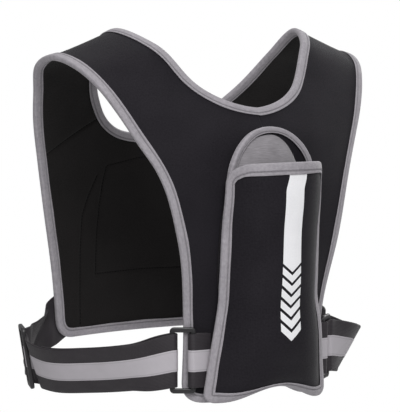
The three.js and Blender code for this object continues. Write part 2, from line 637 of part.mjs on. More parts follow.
const tabShown = [...tabTurn.slice(HALF_TURN), ...tabOver];
addPair("tab_stripe", tabShown, STRIPE_EDGES, FILM, STRIPE_HEIGHT, GREY_STRIPE);

// The belt's middle line by length from the ring, with its frame
function beltRows() {
  const onBack = standingOff(body, OVER_BINDING + SEWN_ON.off + WEBBING.thick / 2);
  const sewn = SEWN.map((place) => {
    const { x, y, z } = onBack(place.x, PATTERN_LENGTH - place.up);
    return { name: "sewn", x, y, z, lean: SEWN_ON.lean };
  });
  let length = 0;
  return [...BELT, ...sewn].map((row, i, all) => {
    if (i > 0) length += Math.hypot(row.x - all[i - 1].x, row.y - all[i - 1].y, row.z - all[i - 1].z);
    return { ...row, length };
  });
}
const belt = beltRows();
const beltAt = curveThrough(belt, "length");
const BELT_LENGTH = belt[belt.length - 1].length;
const SLIDER_AT = belt.find((row) => row.name === "slider").length;
function beltFrame(length) {
  const step = SLOPE_STEP;
  const place = (s) => {
    const { x, y, z } = beltAt(s);
    return new THREE.Vector3(x, y, z);
  };
  const along = place(length + step).sub(place(length - step)).normalize();
  const out = along.clone().cross(UP).normalize();
  const lean = THREE.MathUtils.degToRad(beltAt(length).lean);
  const leaning = UP.clone().multiplyScalar(Math.cos(lean)).addScaledVector(out, Math.sin(lean));
  const across = ringAcross.clone().lerp(leaning, smooth(length / BELT_LAYERS.settle)).normalize();
  return stripFrame(place(length), along, across);
}
function offBelt(length, height) {
  const { point, across, normal } = beltFrame(length);
  return { point: point.addScaledVector(normal, height), across };
}

// The webbing goes round the ring's bar: out along the outside, over the slider's bar and under its rails,
// to the back
const WEAVE = { half: (SLIDER.width - SLIDER.rail) / 2, over: 3.4, under: -5.4, reach: 12 };
const layerHeight = (s) => lerp(BAR_TURN, BELT_LAYERS.apart / 2, smooth(s / BELT_LAYERS.settle));
function weaveHeight(s) {
  const from = Math.abs(s - SLIDER_AT);
  const plain = s < SLIDER_AT ? layerHeight(s) : 0;
  if (from >= WEAVE.half + WEAVE.reach) return plain;
  if (from >= WEAVE.half) return lerp(WEAVE.under, plain, smooth((from - WEAVE.half) / WEAVE.reach));
  return lerp(WEAVE.over, WEAVE.under, (1 - Math.cos((Math.PI * from) / WEAVE.half)) / 2);
}
const reachEnd = WEAVE.half + WEAVE.reach;
const outLengths = [
  ...NEAR_RING,
  ...spaced(PAST_RING, SLIDER_AT - reachEnd, BELT_STEPS.before),
  ...spaced(SLIDER_AT - reachEnd, SLIDER_AT + reachEnd, BELT_STEPS.weave),
  ...spaced(SLIDER_AT + reachEnd, BELT_LENGTH, BELT_STEPS.behind),
  BELT_LENGTH,
];
const returnLengths = outLengths.filter((s) => s > 0 && s < SLIDER_AT - reachEnd).reverse();
const returning = returnLengths.map((s) => offBelt(s, -layerHeight(s)));
const turning = turnRound(beltFrame(0), TURN_STEPS);
const outgoing = outLengths.map((s) => offBelt(s, weaveHeight(s)));
addPair("belt", [...returning, ...turning, ...outgoing], WEBBING_EDGES, WEBBING.thick, 0, BLACK_WEBBING);
const beltShown = [...turning.slice(HALF_TURN), ...outgoing];
addPair("belt_stripe", beltShown, STRIPE_EDGES, FILM, STRIPE_HEIGHT, GREY_STRIPE);

// Rings and sliders: flat plates with openings, laid in a frame of three directions
function roundedRectangle(path, width, height, radius, centreX = 0) {
  const [w, h] = [width / 2, height / 2];
  const corners = [
    [centreX + w - radius, -h + radius, -Math.PI / 2],
    [centreX + w - radius, h - radius, 0],
    [centreX - w + radius, h - radius, Math.PI / 2],
    [centreX - w + radius, -h + radius, Math.PI],
  ];
  for (const [x, y, start] of corners) path.absarc(x, y, radius, start, start + Math.PI / 2, false);
  path.closePath();
  return path;
}
function plate(width, length, corner, thick, openings) {
  const shape = roundedRectangle(new THREE.Shape(), width, length, corner);
  for (const { at, wide, long } of openings) {
    shape.holes.push(roundedRectangle(new THREE.Path(), wide, long, OPENING_CORNER, at));
  }
  const settings = { depth: thick, bevelEnabled: false, curveSegments: ARC_STEPS };
  const geometry = new THREE.ExtrudeGeometry(shape, settings);
  return geometry.translate(0, 0, -thick / 2);
}
function placePair(name, geometry, point, along, across) {
  const out = along.clone().cross(across).normalize();
  const square = out.clone().cross(along).normalize();
  const mesh = add(`${name}_left`, geometry, BLACK_PLASTIC);
  mesh.applyMatrix4(new THREE.Matrix4().makeBasis(along, square, out).setPosition(point));
  const twin = add(`${name}_right`, geometry, BLACK_PLASTIC);
  const flip = (v, sign) => new THREE.Vector3(-sign * v.x, sign * v.y, sign * v.z);
  const turned = new THREE.Matrix4().makeBasis(flip(along, 1), flip(square, 1), flip(out, -1));
  twin.applyMatrix4(turned.setPosition(flip(point, 1)));
}
const ringSpan = outerBar.distanceTo(innerBar);
const ringPlate = plate(ringSpan + RING.bar, RING.length, RING.corner, RING.thick, [
  { at: 0, wide: ringSpan - RING.bar, long: RING.length - 2 * RING.bar },
]);
const ringMiddle = outerBar.clone().add(innerBar).multiplyScalar(0.5);
placePair("ring", ringPlate, ringMiddle, ringAlong, ringAcross);

const slot = (SLIDER.width - SLIDER.bar) / 2 - SLIDER.rail;
const slotAt = (SLIDER.bar + slot) / 2;
const sliderPlate = plate(SLIDER.width, SLIDER.length, SLIDER.corner, SLIDER.thick, [
  { at: -slotAt, wide: slot, long: WEBBING.width + SLIDER.slotRoom },
  { at: slotAt, wide: slot, long: WEBBING.width + SLIDER.slotRoom },
]);
const sliderFrame = beltFrame(SLIDER_AT);
placePair("slider", sliderPlate, sliderFrame.point, sliderFrame.along, sliderFrame.across);

export default vest;
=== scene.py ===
import json

import bpy
import numpy as np
from mathutils import Matrix

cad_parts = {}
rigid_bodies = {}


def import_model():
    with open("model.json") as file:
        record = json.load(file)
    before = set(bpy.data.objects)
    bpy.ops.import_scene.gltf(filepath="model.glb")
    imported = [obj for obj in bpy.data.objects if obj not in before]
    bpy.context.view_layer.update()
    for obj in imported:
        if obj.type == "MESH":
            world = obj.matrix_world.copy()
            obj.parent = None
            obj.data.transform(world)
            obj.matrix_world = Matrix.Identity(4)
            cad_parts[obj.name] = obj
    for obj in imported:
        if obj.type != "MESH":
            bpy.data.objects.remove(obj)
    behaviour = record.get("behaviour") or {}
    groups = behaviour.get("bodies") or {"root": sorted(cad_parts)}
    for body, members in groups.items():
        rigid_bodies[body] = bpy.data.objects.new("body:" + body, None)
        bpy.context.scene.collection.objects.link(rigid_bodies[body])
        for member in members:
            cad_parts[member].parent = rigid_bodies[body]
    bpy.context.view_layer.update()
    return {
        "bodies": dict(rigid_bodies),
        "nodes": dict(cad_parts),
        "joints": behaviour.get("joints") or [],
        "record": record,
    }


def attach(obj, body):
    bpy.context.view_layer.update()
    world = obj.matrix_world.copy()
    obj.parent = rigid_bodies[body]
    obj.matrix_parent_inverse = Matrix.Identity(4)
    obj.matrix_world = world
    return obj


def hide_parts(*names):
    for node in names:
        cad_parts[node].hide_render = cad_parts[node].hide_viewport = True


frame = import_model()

# A worn running vest: neoprene panels bound with grey tape, a bulged phone pouch with a lined tongue,
# reflective film, and a webbing belt with rings and sliders. Sizes are millimetres until a mesh is made.
# +X is the wearer's left, -Y the front and +Z up.
MM = 0.001

# Cloth, tape and clearances
WALL = 3.0
POUCH_WALL = 2.2
BACK_WALL = 2.0
LINING_WALL = 0.8
FILM = 0.3
TAPE = 0.8
GAP = 0.3
TAPE_SLACK = 0.45
POUCH_SLACK = 0.7
TAPE_WIDTH = 9.0
POUCH_TAPE = 10.3
TONGUE_TAPE = 6.0
EDGE_IN_FOLD = TAPE + TAPE_SLACK

# Sections of the worn shape from the front hem over the shoulder to the back hem, each a parabola from the
# middle plane to the side edge: middle y and z, then the edge's x, y and z
SECTIONS = {
    "front hem": (-100, -345, 80, -77, -345),
    "front waist": (-102, -268, 79.5, -80, -268),
    "front ribs": (-103, -191, 93, -90.5, -191),
    "front chest": (-105, -130, 111, -83.5, -130),
    "front armhole": (-100, -102.5, 126.5, -72.5, -102),
    "front neck": (-86, -77, 139.5, -63.5, -78),
    "strap foot": (-69, -50.5, 152, -51, -55),
    "strap front": (-46.5, -9, 165.5, -29, -35),
    "shoulder": (-4, 11.5, 172, -1, -27.5),
    "strap back": (31.5, -21, 170.5, 29.5, -36.5),
    "blade top": (62, -55.5, 158.5, 52, -60.5),
    "back neck": (88, -88, 150.5, 65, -90),
    "back armhole": (97, -125, 139.5, 76.5, -126),
    "back ribs": (103, -168, 128.5, 85.5, -168),
    "back waist": (105, -250, 112.5, 93.5, -250),
    "back hem": (104, -301, 108, 95, -302.5),
}
# The hollow of a shoulder strap: depth, where it starts as a share of the section, and reach along the
# strap
HOLLOW_DEPTH = 2.5
HOLLOW_FROM = 0.36
HOLLOW_REACH = 70.0
# The arch of the front hem, and the round corners of both hems
FRONT_ARCH_RISE = 15.5
FRONT_ARCH_HALF = 56.0
HEM_CORNER = 20.0

# The neckline around the shoulders on the flat pattern: degrees from the front, and radius
NECKLINE = (
    (0, 102.5), (30, 97.5), (57, 91), (90, 102.5),
    (112, 106.5), (140, 119.5), (162, 133.5), (180, 132.5),
)
# Where the yoke seam meets the neckline, and how far behind the shoulder it meets the side edge
YOKE_NECK_ANGLE = 151.0
YOKE_EDGE_BEHIND = 154.0

# The pouch by height above the front hem: half width, depth in the middle, sag there, lift of the side
# edges, and how far the back's edge lies inside them
POUCH = (
    (0, 63.5, 1.5, 0, 4.4, 5),
    (9, 63.5, 12, 4.5, 4.4, 5),
    (30, 61, 21, 4.5, 4.2, 5),
    (75, 55.5, 25.5, 1, 4, 5),
    (95, 53.5, 28.5, 0, 1, 3),
    (115, 54, 29.8, 0, 0, 0.6),
    (165, 54, 29.6, 0, 0, 0.6),
    (195, 52.5, 28.5, 0, 2.2, 0.6),
    (220, 51, 28.5, 0, 2.6, 0.6),
)
# The pouch's outline, and how square its bulge is across
POUCH_TOP = 220.0
POUCH_FOOT = 2.0
POUCH_TOP_CORNER = 17.0
POUCH_FOOT_CORNER = 9.0
POUCH_ROUNDING = 0.35
# The flat border inside the side tapes: its width low down, the height at which it ends, the height over
# which it narrows, and how softly the bulge starts from it
POUCH_FLAT = 9.5
POUCH_FLAT_TOP = 290.0
POUCH_FLAT_REACH = 240.0
POUCH_CREASE = 0.24
# How far the foot corner on the wearer's left hangs down, and the height at which that ends
POUCH_DROOP = 4.0
DROOP_TOP = 70.0

# The pouch's back, with the tongue that stands above the mouth: widening below its foot, outline, lean to
# the left where above zero, and the lift of its rim from a share of its outline
BACK_FLARE = 0.2
TONGUE_FOOT = 200.0
TONGUE_HALF = 48.0
TONGUE_TOP = 252.5
TONGUE_POWER = 2.1
TONGUE_LEAN = -1.0
RIM_LIFT = 5.0
RIM_FROM = 0.65
# The tongue's lining: foot, swelling and its power, left edge as a share, and distance below the top
# The lining stops short on the wearer's left and below the top, leaving the black back cloth showing there
# as painted shade under the tongue's rim.
LINING_FOOT = 185.0
LINING_BULGE = 8.0
LINING_POWER = 5
LINING_LEFT_SHARE = 0.64
LINING_DROP = 6.5

# Reflective film on the pouch
STRIPE_HALF = 8.8
STRIPE_TOP = 214.5
STRIPE_FOOT = 131.5
STRIPE_POINT = 8.5
# How far the film shifts to the left towards the mouth, from which height, and over which height
STRIPE_KINK = 3.2
STRIPE_KINK_FOOT = 197.5
STRIPE_KINK_RISE = 13.0
# Chevrons below the stripe
CHEVRON_COUNT = 6
CHEVRON_PITCH = 10.0
CHEVRON_GAP = 3.2

# Sewn lines of the pocket on the back panel: distance from the middle, and height above the back hem
POCKET_SIDE = (
    (0, 175), (14.7, 173.6), (51, 167), (54.3, 149),
    (56.7, 129), (59.4, 95), (60.6, 60), (0, 61.5),
)
POCKET_FLANK = ((61.5, 158.5), (71.4, 138), (78.1, 119), (80, 82), (80, 10.5))
# The groove of a sewn line: depth, and reach of its bell curve
SEWN_DEPTH = 0.45
SEWN_HALF = 1.5

# Belt webbing, rings and sliders
WEBBING_WIDTH = 50.0
WEBBING_THICK = 1.6
WEBBING_STRIPE = 20.0
RING_LENGTH = 61.4
RING_BAR = 4.8
RING_THICK = 3.4
RING_CORNER = 4.0
SLIDER_LENGTH = 60.0
SLIDER_WIDTH = 31.0
SLIDER_RAIL = 5.0
SLIDER_BAR = 3.5
SLIDER_THICK = 4.0
SLIDER_BAR_THICK = 1.6
SLIDER_BAR_DROP = 1.2
SLIDER_CORNER = 3.0
# Power of a moulded bar's section: below one, the circle turns into a square with round corners
BAR_POWER = 0.55

# The belt's middle line on the wearer's left, and how many degrees its top leans outwards
BELT = {
    "ring": (90.5, -78.5, -304, 10),
    "front": (121, -65.5, -309, 24),
    "flank": (151, -31, -314, 29),
    "side": (170.5, 6, -316, 27),
    "slider": (169, 51, -309, 9),
    "rear": (146, 79, -303, -16),
    "back edge": (121.5, 103, -293, -24),
}
# The belt's end on the back panel: places across it and heights above its hem
SEWN = ((107, 18), (97, 23), (82, 31))
SEWN_LEAN = -2.0
SEWN_OFF = 0.4
# How far the left belt hangs lower, from where to where along y, and the reach of either step
LEFT_SAG = 4.5
SAG_FRONT = -70.0
SAG_BACK = 100.0
SAG_REACH = 50.0
# The belt's two layers at the ring, the tab's heights and ends, and the way through the slider
LAYERS_APART = 2.2
LAYERS_SETTLE = 40.0
TAB_UP = 41.0
TAB_UNDER_X = 59.0
TAB_BAR_X = 71.0
TAB_OVER_X = 57.0
TAB_OVER_DROP = -1.6
WEAVE_HALF = (SLIDER_WIDTH - SLIDER_RAIL) / 2
WEAVE_OVER = 0.6
WEAVE_UNDER = -3.3
WEAVE_REACH = 12.0
# Steps of the CAD's half turn of webbing round a bar, whose flat sides clear the bar
CAD_TURN_STEPS = 6

# Folded tape: reach of its round fold, places along its leg, the leg's fullness, and its lip
FOLD_REACH = 1.5
LEG_INSETS = (2.3, 3.4, 4.4, 5.3, 5.9, 6.3, 6.7, 7.1, 7.5, 8.0, 8.5, 8.8)
LEG_FULLNESS = 0.22
LIP_ROUND = 0.25
LIP_OFF = 0.1
UNDER_EDGE = 8.9
# Waves of the tape's free edge: share of the inset, length to a radian, and start. Then the least inset
# that they move
WANDER = ((0.022, 17.0, 0.0), (0.016, 7.3, 1.0))
WANDER_FROM = 7.7

# Stitches, and the groove of the tape that they lie in
STITCH_PITCH = 3.2
STITCH_LENGTH = 2.5
STITCH_RADIUS = 0.3
SEWN_RADIUS = 0.45
STITCH_INSET = 6.7
STITCH_SIDES = 6
STITCH_SUNK = 0.35
STITCH_SLOPE_STEP = 0.6
GROOVE_DEPTH = 0.62
GROOVE_HALF = 0.5
# One stitch: place along it as a share of its length, girth as a share of its radius, and rise
STITCH_FORM = (
    (-0.5, 0.45, -0.34),
    (-0.36, 0.9, -0.06),
    (0, 1, 0.06),
    (0.36, 0.9, -0.06),
    (0.5, 0.45, -0.34),
)

# Heights of layers above the middle of the body's cloth
OVER_BINDING = WALL / 2 + TAPE_SLACK + TAPE + GAP
POUCH_BACK_MIDDLE = OVER_BINDING + BACK_WALL / 2
LINING_MIDDLE = OVER_BINDING + BACK_WALL + GAP + LINING_WALL / 2
POUCH_EDGE_MIDDLE = OVER_BINDING + BACK_WALL + GAP + TAPE + POUCH_SLACK + POUCH_WALL / 2
TONGUE_CLOTH = BACK_WALL + GAP + LINING_WALL
STRIPE_HEIGHT = WEBBING_THICK / 2 + FILM / 2
SEWN_PROUD = 0.1
FILM_OFF = 0.03

# Seams of the body, and the sewn box at the belt's end
SEAM_PINCH = 0.9
SEAM_HALF = 1.5
SEAM_SHARES = (0.0, 0.3, 0.65)
SEWN_BOX = 30.0
SEWN_BOX_END = 4.0
SEWN_BOX_EDGE = 4.0
SEWN_BOX_RISE = STITCH_RADIUS / 3

# Faces of a wall of cloth, outer and inner, and sides of the wearer by the sign of x
FACES = (1, -1)
SIDES = {"left": 1, "right": -1}

# Steps of the grids and sections, and of slopes measured on a surface or a line
STRAP_HALF = 90.0
FRONT_HEM_STEPS = 26
CORNER_STEPS = 16
SIDE_STEPS = (68, 56, 18, 76)
BACK_HEM_STEPS = 65
FRONT_COLUMNS = 60
BACK_COLUMNS = 120
POUCH_ROWS = 130
POUCH_COLUMNS = 90
BACK_STEPS = 60
TONGUE_STEPS = 90
FILM_COLUMNS = 17
STRIPE_ROWS = 60
CHEVRON_ROWS = 9
SEWN_STEPS = 200
SEWN_BOX_STEPS = 300
TURN_STEPS = 16
RETURN_STEPS = 60
RETURN_SHARE = 0.8
BELT_STEPS = 320
TAB_UNDER_STEPS = 8
TAB_OVER_STEPS = 9
FOLD_STEPS = 7
STRIP_EDGE_STEPS = 6
STRIP_FLAT_STEPS = 9
BAR_SIDES = 20
BAR_RINGS = 9
LOOP_CORNER_STEPS = 9
WALK_STEPS = 3
SLOPE_STEP = 0.5

# Degrees between faces past which an edge shows sharp
SHARP_ANGLE = 50.0
THREAD_SHARP_ANGLE = 80.0

# Floor and light, in metres and watts: each lamp's place, side and power
FLOOR_HALF = 2.0
FLOOR_Z = -0.9
LIT_MIDDLE = (0.0, 0.0, -0.18)
SURROUND_LIGHT = 0.28
SURROUND_RISE = 0.16
LAMPS = {
    "front lamp": ((-1.2, -2.1, 1.4), 1.6, 58.0),
    "side lamp": ((1.9, 0.6, 0.4), 1.2, 12.0),
    "top lamp": ((0.3, 0.6, 2.2), 1.8, 20.0),
}

# Camera: the photograph is 400 x 412 pixels, and the origin shows at the horizon pixel
PHOTO_WIDTH = 400.0
PHOTO_HEIGHT = 412.0
HORIZON_PIXEL = (204.0, 28.0)
CAMERA_AZIMUTH = np.radians(35.0)
CAMERA_DISTANCE = 2200.0
FOCAL_PIXELS = 2290.0
SENSOR = 36.0
VIEW_END = 50.0
UP = np.array((0.0, 0.0, 1.0))


# Curves and surfaces

def unit(v):
    """Vectors divided by their lengths."""
    return v / np.linalg.norm(v, axis=-1, keepdims=True)


def dot(a, b):
    """Scalar products along the last axis, kept as a column."""
    return np.sum(a * b, axis=-1, keepdims=True)


def smoothstep(f):
    """Three f squared less two f cubed, with f held between 0 and 1."""
    f = np.clip(f, 0, 1)
    return f * f * (3 - 2 * f)


def signed_power(wave, power):
    """A sine or cosine raised to a power, with its sign kept."""
    return np.sign(wave) * np.abs(wave) ** power


def through(at, values):
    """A smooth curve through rows of values. Each span is a cubic whose end slopes are the mean of the
    neighbouring rises, weighted by the other's span. Past the ends it runs on straight."""
    at = np.asarray(at, float)
    values = np.asarray(values, float)
    span = np.diff(at)[:, None]
    rise = np.diff(values, axis=0) / span
    inner = (rise[:-1] * span[1:] + rise[1:] * span[:-1]) / (span[:-1] + span[1:])
    slope = np.concatenate([rise[:1], inner, rise[-1:]])

    def read(q):
        q = np.asarray(q, float)
        i = np.clip(np.searchsorted(at, q) - 1, 0, len(at) - 2)
        wide = span[i]
        f = np.clip((q[..., None] - at[i][..., None]) / wide, 0, 1)
        past = q[..., None] - at[i][..., None] - f * wide
        ends = values[i] * (2 * f**3 - 3 * f**2 + 1) + values[i + 1] * (3 * f**2 - 2 * f**3)
        bends = slope[i] * wide * (f**3 - 2 * f**2 + f) + slope[i + 1] * wide * (f**3 - f**2)
        return ends + bends + past * np.where(f == 0, slope[i], slope[i + 1])

    return read


SECTION_ROWS = np.array(list(SECTIONS.values()), float)
MIDDLE_STEPS = np.linalg.norm(np.diff(SECTION_ROWS[:, :2], axis=0), axis=1)
EDGE_STEPS = np.linalg.norm(np.diff(SECTION_ROWS[:, 3:], axis=0), axis=1)
SECTION_AT = np.concatenate([[0.0], np.cumsum((MIDDLE_STEPS + EDGE_STEPS) / 2)])
PATTERN_LENGTH = SECTION_AT[-1]
SHOULDER_T = SECTION_AT[list(SECTIONS).index("shoulder")]
YOKE_T = SHOULDER_T + YOKE_EDGE_BEHIND
section_at = through(SECTION_AT, SECTION_ROWS)
neck_radius = through(*zip(*[(angle, (radius,)) for angle, radius in NECKLINE]))
pouch_at = through([row[0] for row in POUCH], [row[1:] for row in POUCH])


def edge_x(t):
    """Half width of the body at pattern length t."""
    return section_at(t)[..., 2]


def strap_hollow(share, t):
    """How far a strap sinks between its taped edges: a parabola across it, a squared one along it."""
    across = np.maximum(0, (share - HOLLOW_FROM) * (1 - share)) * 4 / (1 - HOLLOW_FROM) ** 2
    along = np.maximum(0, 1 - ((t - SHOULDER_T) / HOLLOW_REACH) ** 2) ** 2
    return HOLLOW_DEPTH * across * along


def body(x, t):
    """Middle of the body's cloth: the section at pattern length t, a parabola from the middle plane to the
    side edge, less the hollow of the strap."""
    mid_y, mid_z, side, edge_y, edge_z = np.moveaxis(section_at(t), -1, 0)
    share = (x / side) ** 2
    z = mid_z + (edge_z - mid_z) * share - strap_hollow(share, t)
    return np.stack([x + 0 * t, mid_y + (edge_y - mid_y) * share, z], -1)


def frame_on(surface, x, t):
    """A surface's point, its slopes across and along the pattern, and its outward normal, which is their
    cross product."""
    step = SLOPE_STEP
    across = (surface(x + step, t) - surface(x - step, t)) / (2 * step)
    along = (surface(x, t + step) - surface(x, t - step)) / (2 * step)
    return surface(x, t), across, along, unit(np.cross(across, along))


def standing_off(surface, height):
    """The surface moved along its normal by a height that may vary over the pattern."""
    def stood(x, t):
        point, _, _, normal = frame_on(surface, x, t)
        lift = height(x, t)[..., None] if callable(height) else height
        return point + normal * lift
    return stood


def walk(surface, x, t, direction, distance):
    """Pattern points that lie a distance from others in a direction along the surface, by a few steps that
    each solve for the pattern step with the surface's own slopes."""
    for _ in range(WALK_STEPS):
        _, across, along, _ = frame_on(surface, x, t)
        aa, ab, bb = (dot(p, q)[..., 0] for p, q in ((across, across), (across, along), (along, along)))
        da, db = dot(direction, across)[..., 0], dot(direction, along)[..., 0]
        scale = distance / WALK_STEPS / (aa * bb - ab * ab)
        x = x + (da * bb - db * ab) * scale
        t = t + (db * aa - da * ab) * scale
    return x, t


def inward(surface, x, t, closed, side):
    """Directions along a surface that lead inwards from an edge line: the normal crossed with the line's
    own step."""
    points = surface(x, t)
    step = np.roll(points, -1, 0) - np.roll(points, 1, 0) if closed else np.gradient(points, axis=0)
    return side * unit(np.cross(frame_on(surface, x, t)[3], step))


def lengths_along(points, closed=False):
    """Length from the first point to each point of a line, and on to the first again if it is closed."""
    line = np.concatenate([points, points[:1]]) if closed else points
    return np.concatenate([[0.0], np.cumsum(np.linalg.norm(np.diff(line, axis=0), axis=1))])


def front_hem(x):
    """Rise of the front hem under the pouch: half a wave of a cosine, flat at the sides."""
    share = np.minimum(1, np.abs(x) / FRONT_ARCH_HALF)
    return FRONT_ARCH_RISE * (1 + np.cos(np.pi * share)) / 2


# Meshes

def grid_quads(rows, columns, wrap_rows=False, wrap_columns=False):
    """Corner indices of a grid's quads, as places in the grid, with the last row or column joined to the
    first where it wraps. Also the same corners counted in a grid that doesn't wrap, for the pattern map."""
    row_steps, column_steps = np.arange(rows - 1 + wrap_rows), np.arange(columns - 1 + wrap_columns)
    i, j = np.meshgrid(row_steps, column_steps, indexing="ij")
    row = np.stack([i, i, i + 1, i + 1], -1).reshape(-1, 4)
    column = np.stack([j, j + 1, j + 1, j], -1).reshape(-1, 4)
    return (row % rows) * columns + column % columns, row * (columns + wrap_columns) + column


def make_mesh(name, points, quads, corner_uv, caps=(), sharp=SHARP_ANGLE):
    """A mesh in metres from points in millimetres, with quads and end caps turned outwards by the sign of
    the volume that they enclose, and a pattern map in metres."""
    a, b, c, d = (points[quads[:, k]] for k in range(4))
    volume = np.sum(np.cross(b - a, c - a) * a) + np.sum(np.cross(c - a, d - a) * a)
    if volume < 0:
        quads = quads[:, ::-1]
        corner_uv = corner_uv[:, ::-1]
        caps = [cap[::-1] for cap in caps]
    corners = np.concatenate([quads.ravel(), *caps]).astype(np.int32)
    sizes = np.array([4] * len(quads) + [len(cap) for cap in caps], np.int32)
    uv = np.zeros((len(corners), 2))
    uv[: quads.size] = corner_uv.reshape(-1, 2)
    mesh = bpy.data.meshes.new(name)
    mesh.vertices.add(len(points))
    mesh.vertices.foreach_set("co", (points * MM).astype(np.float32).ravel())
    mesh.loops.add(len(corners))
    mesh.loops.foreach_set("vertex_index", corners)
    mesh.polygons.add(len(sizes))
    starts = np.concatenate([[0], np.cumsum(sizes)[:-1]])
    mesh.polygons.foreach_set("loop_start", starts.astype(np.int32))
    mesh.polygons.foreach_set("use_smooth", np.ones(len(sizes), bool))
    layer = mesh.uv_layers.new(name="pattern")
    layer.data.foreach_set("uv", (uv * MM).astype(np.float32).ravel())
    mesh.update(calc_edges=True)
    mesh.validate()
    mesh.set_sharp_from_angle(angle=np.radians(sharp))
    return mesh


def add_piece(name, mesh, material, replaced=None):
    """An object for a mesh that rides on the vest's one body, with its material, hiding the CAD part that it
    replaces.
    """
    piece = bpy.data.objects.new(name, mesh)
    bpy.context.scene.collection.objects.link(piece)
    mesh.materials.append(material)
    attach(piece, "root")
    if replaced:
        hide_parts(replaced)
    return piece


def wall_mesh(name, outer, inner, x, t):
    """A closed wall between two grids of points, with a rim around them. The attribute inside is 1 on the
    inner grid."""
    rows, columns = outer.shape[:2]
    count = rows * columns
    face = grid_quads(rows, columns)[0]
    index = np.arange(count).reshape(rows, columns)
    ring = np.concatenate([index[0, :-1], index[:-1, -1], index[-1, :0:-1], index[:0:-1, 0]])
    after = np.roll(ring, -1)
    rim = np.stack([after, ring, ring + count, after + count], 1)
    quads = np.concatenate([face, face[:, ::-1] + count, rim])
    uv = np.tile(np.stack([x.ravel(), t.ravel()], 1), (2, 1))
    points = np.concatenate([outer.reshape(-1, 3), inner.reshape(-1, 3)])
    mesh = make_mesh(name, points, quads, uv[quads])
    inside = mesh.attributes.new("inside", "FLOAT", "POINT")
    inside.data.foreach_set("value", np.repeat([0.0, 1.0], count).astype(np.float32))
    return mesh


def cloth_wall(name, surface, x, t, thick, pressed=0.0):
    """A wall of cloth over a grid of pattern points: both faces stand half the thickness off the middle
    surface, less the depth to which they are pressed."""
    point, _, _, normal = frame_on(surface, x, t)
    half = (thick / 2 - pressed + np.zeros(x.shape))[..., None]
    return wall_mesh(name, point + normal * half, point - normal * half, x, t)


def swept_mesh(name, rings, around, along, closed):
    """A closed section carried along a line: rings of points, with the pattern map's place around each
    ring and along the line, and a flat cap on each open end."""
    rows, sides = rings.shape[:2]
    quads, map_quads = grid_quads(rows, sides, closed, True)
    u, v = np.meshgrid(along, np.append(around, around[0]), indexing="ij")
    uv = np.stack([u, v], -1).reshape(-1, 2)
    caps = [] if closed else [np.arange(sides)[::-1], (rows - 1) * sides + np.arange(sides)]
    return make_mesh(name, rings.reshape(-1, 3), quads, uv[map_quads], caps)


# Tape and stitches

def tape_section(thick, slack):
    """A folded tape's section as a loop: a round fold, two slightly full legs with a groove under the
    stitches, an edge that turns down to the cloth, and the inner side. Columns are inset and height."""
    inner = thick / 2 + slack
    outer = inner + TAPE
    turn = np.linspace(0, np.pi / 2, FOLD_STEPS)
    fold = np.stack([FOLD_REACH * (1 - np.cos(turn)), outer * np.sin(turn)], 1)
    inset = np.array(LEG_INSETS)
    full = LEG_FULLNESS * np.sin(np.pi * inset / TAPE_WIDTH)
    groove = GROOVE_DEPTH * np.exp(-(((inset - STITCH_INSET) / GROOVE_HALF) ** 2))
    leg = np.stack([inset, outer + full - groove], 1)
    lip = np.array([(TAPE_WIDTH, outer - LIP_ROUND), (TAPE_WIDTH, inner + LIP_OFF)])
    half = np.concatenate([fold, leg, lip])
    under = np.array([(UNDER_EDGE, -inner), (TAPE, -inner), (TAPE, inner), (UNDER_EDGE, inner)])
    return np.concatenate([half[::-1], half[1:] * (1, -1), under])


def folded_tape(name, surface, x, t, directions, closed, thick, slack, width):
    """Tape folded over an edge line of a cloth surface: the section's insets are walked inwards along the
    surface and its heights stand off it. The tape's free edge wanders along its length in two sines."""
    section = tape_section(thick, slack)
    length = lengths_along(surface(x, t), closed)
    at = length[: len(x)]
    wander = 1 + sum(share * np.sin(at / radian + start) for share, radian, start in WANDER)
    rings = []
    for inset, height in section:
        stretch = wander if inset > WANDER_FROM else 1.0
        walked = walk(surface, x, t, directions, inset * width / TAPE_WIDTH * stretch)
        point, _, _, normal = frame_on(surface, *walked)
        rings.append(point + normal * height)
    return swept_mesh(name, np.stack(rings, 1), section[:, 0], length, closed)


def read_along(at, length, values):
    """Rows of values read at lengths along a line of straight spans."""
    return np.stack([np.interp(at, length, column) for column in values.T], 1)


def stitch_mesh(name, rows, radius=STITCH_RADIUS):
    """Stitches along lines: each is a short six-sided thread, thinner and sunk at both ends, laid along the
    line at an even pitch. Rows are pairs of points and outward normals."""
    along, girth, rise = np.array(STITCH_FORM).T
    girth = girth * radius
    turn = np.arange(STITCH_SIDES) * 2 * np.pi / STITCH_SIDES
    every = []
    for points, normals in rows:
        length = lengths_along(points)
        middles = np.arange(STITCH_PITCH / 2, length[-1], STITCH_PITCH)
        centre = read_along(middles, length, points)
        ahead = read_along(middles + STITCH_SLOPE_STEP, length, points)
        behind = read_along(middles - STITCH_SLOPE_STEP, length, points)
        tangent = unit(ahead - behind)
        normal = unit(read_along(middles, length, normals))
        side = unit(np.cross(tangent, normal))
        spine = centre[:, None] + tangent[:, None] * (along * STITCH_LENGTH)[:, None]
        spine = spine + normal[:, None] * rise[:, None]
        hoop = side[:, None] * np.cos(turn)[:, None] + normal[:, None] * np.sin(turn)[:, None]
        every.append(spine[:, :, None] + hoop[:, None] * girth[:, None, None])
    threads = np.concatenate(every)
    count, rings, sides = threads.shape[:3]
    one = grid_quads(rings, sides, False, True)[0]
    start = (np.arange(count) * rings * sides)[:, None]
    quads = (one[None] + start[:, None]).reshape(-1, 4)
    near = np.arange(sides)[::-1]
    far = (rings - 1) * sides + np.arange(sides)
    ends = [np.concatenate([cap[:4], cap[[0, 3, 4, 5]]]).reshape(2, 4) for cap in (near, far)]
    closing = (np.concatenate(ends)[None] + start[:, None]).reshape(-1, 4)
    quads = np.concatenate([quads, closing])
    flat_map = np.zeros((len(quads), 4, 2))
    return make_mesh(name, threads.reshape(-1, 3), quads, flat_map, sharp=THREAD_SHARP_ANGLE)


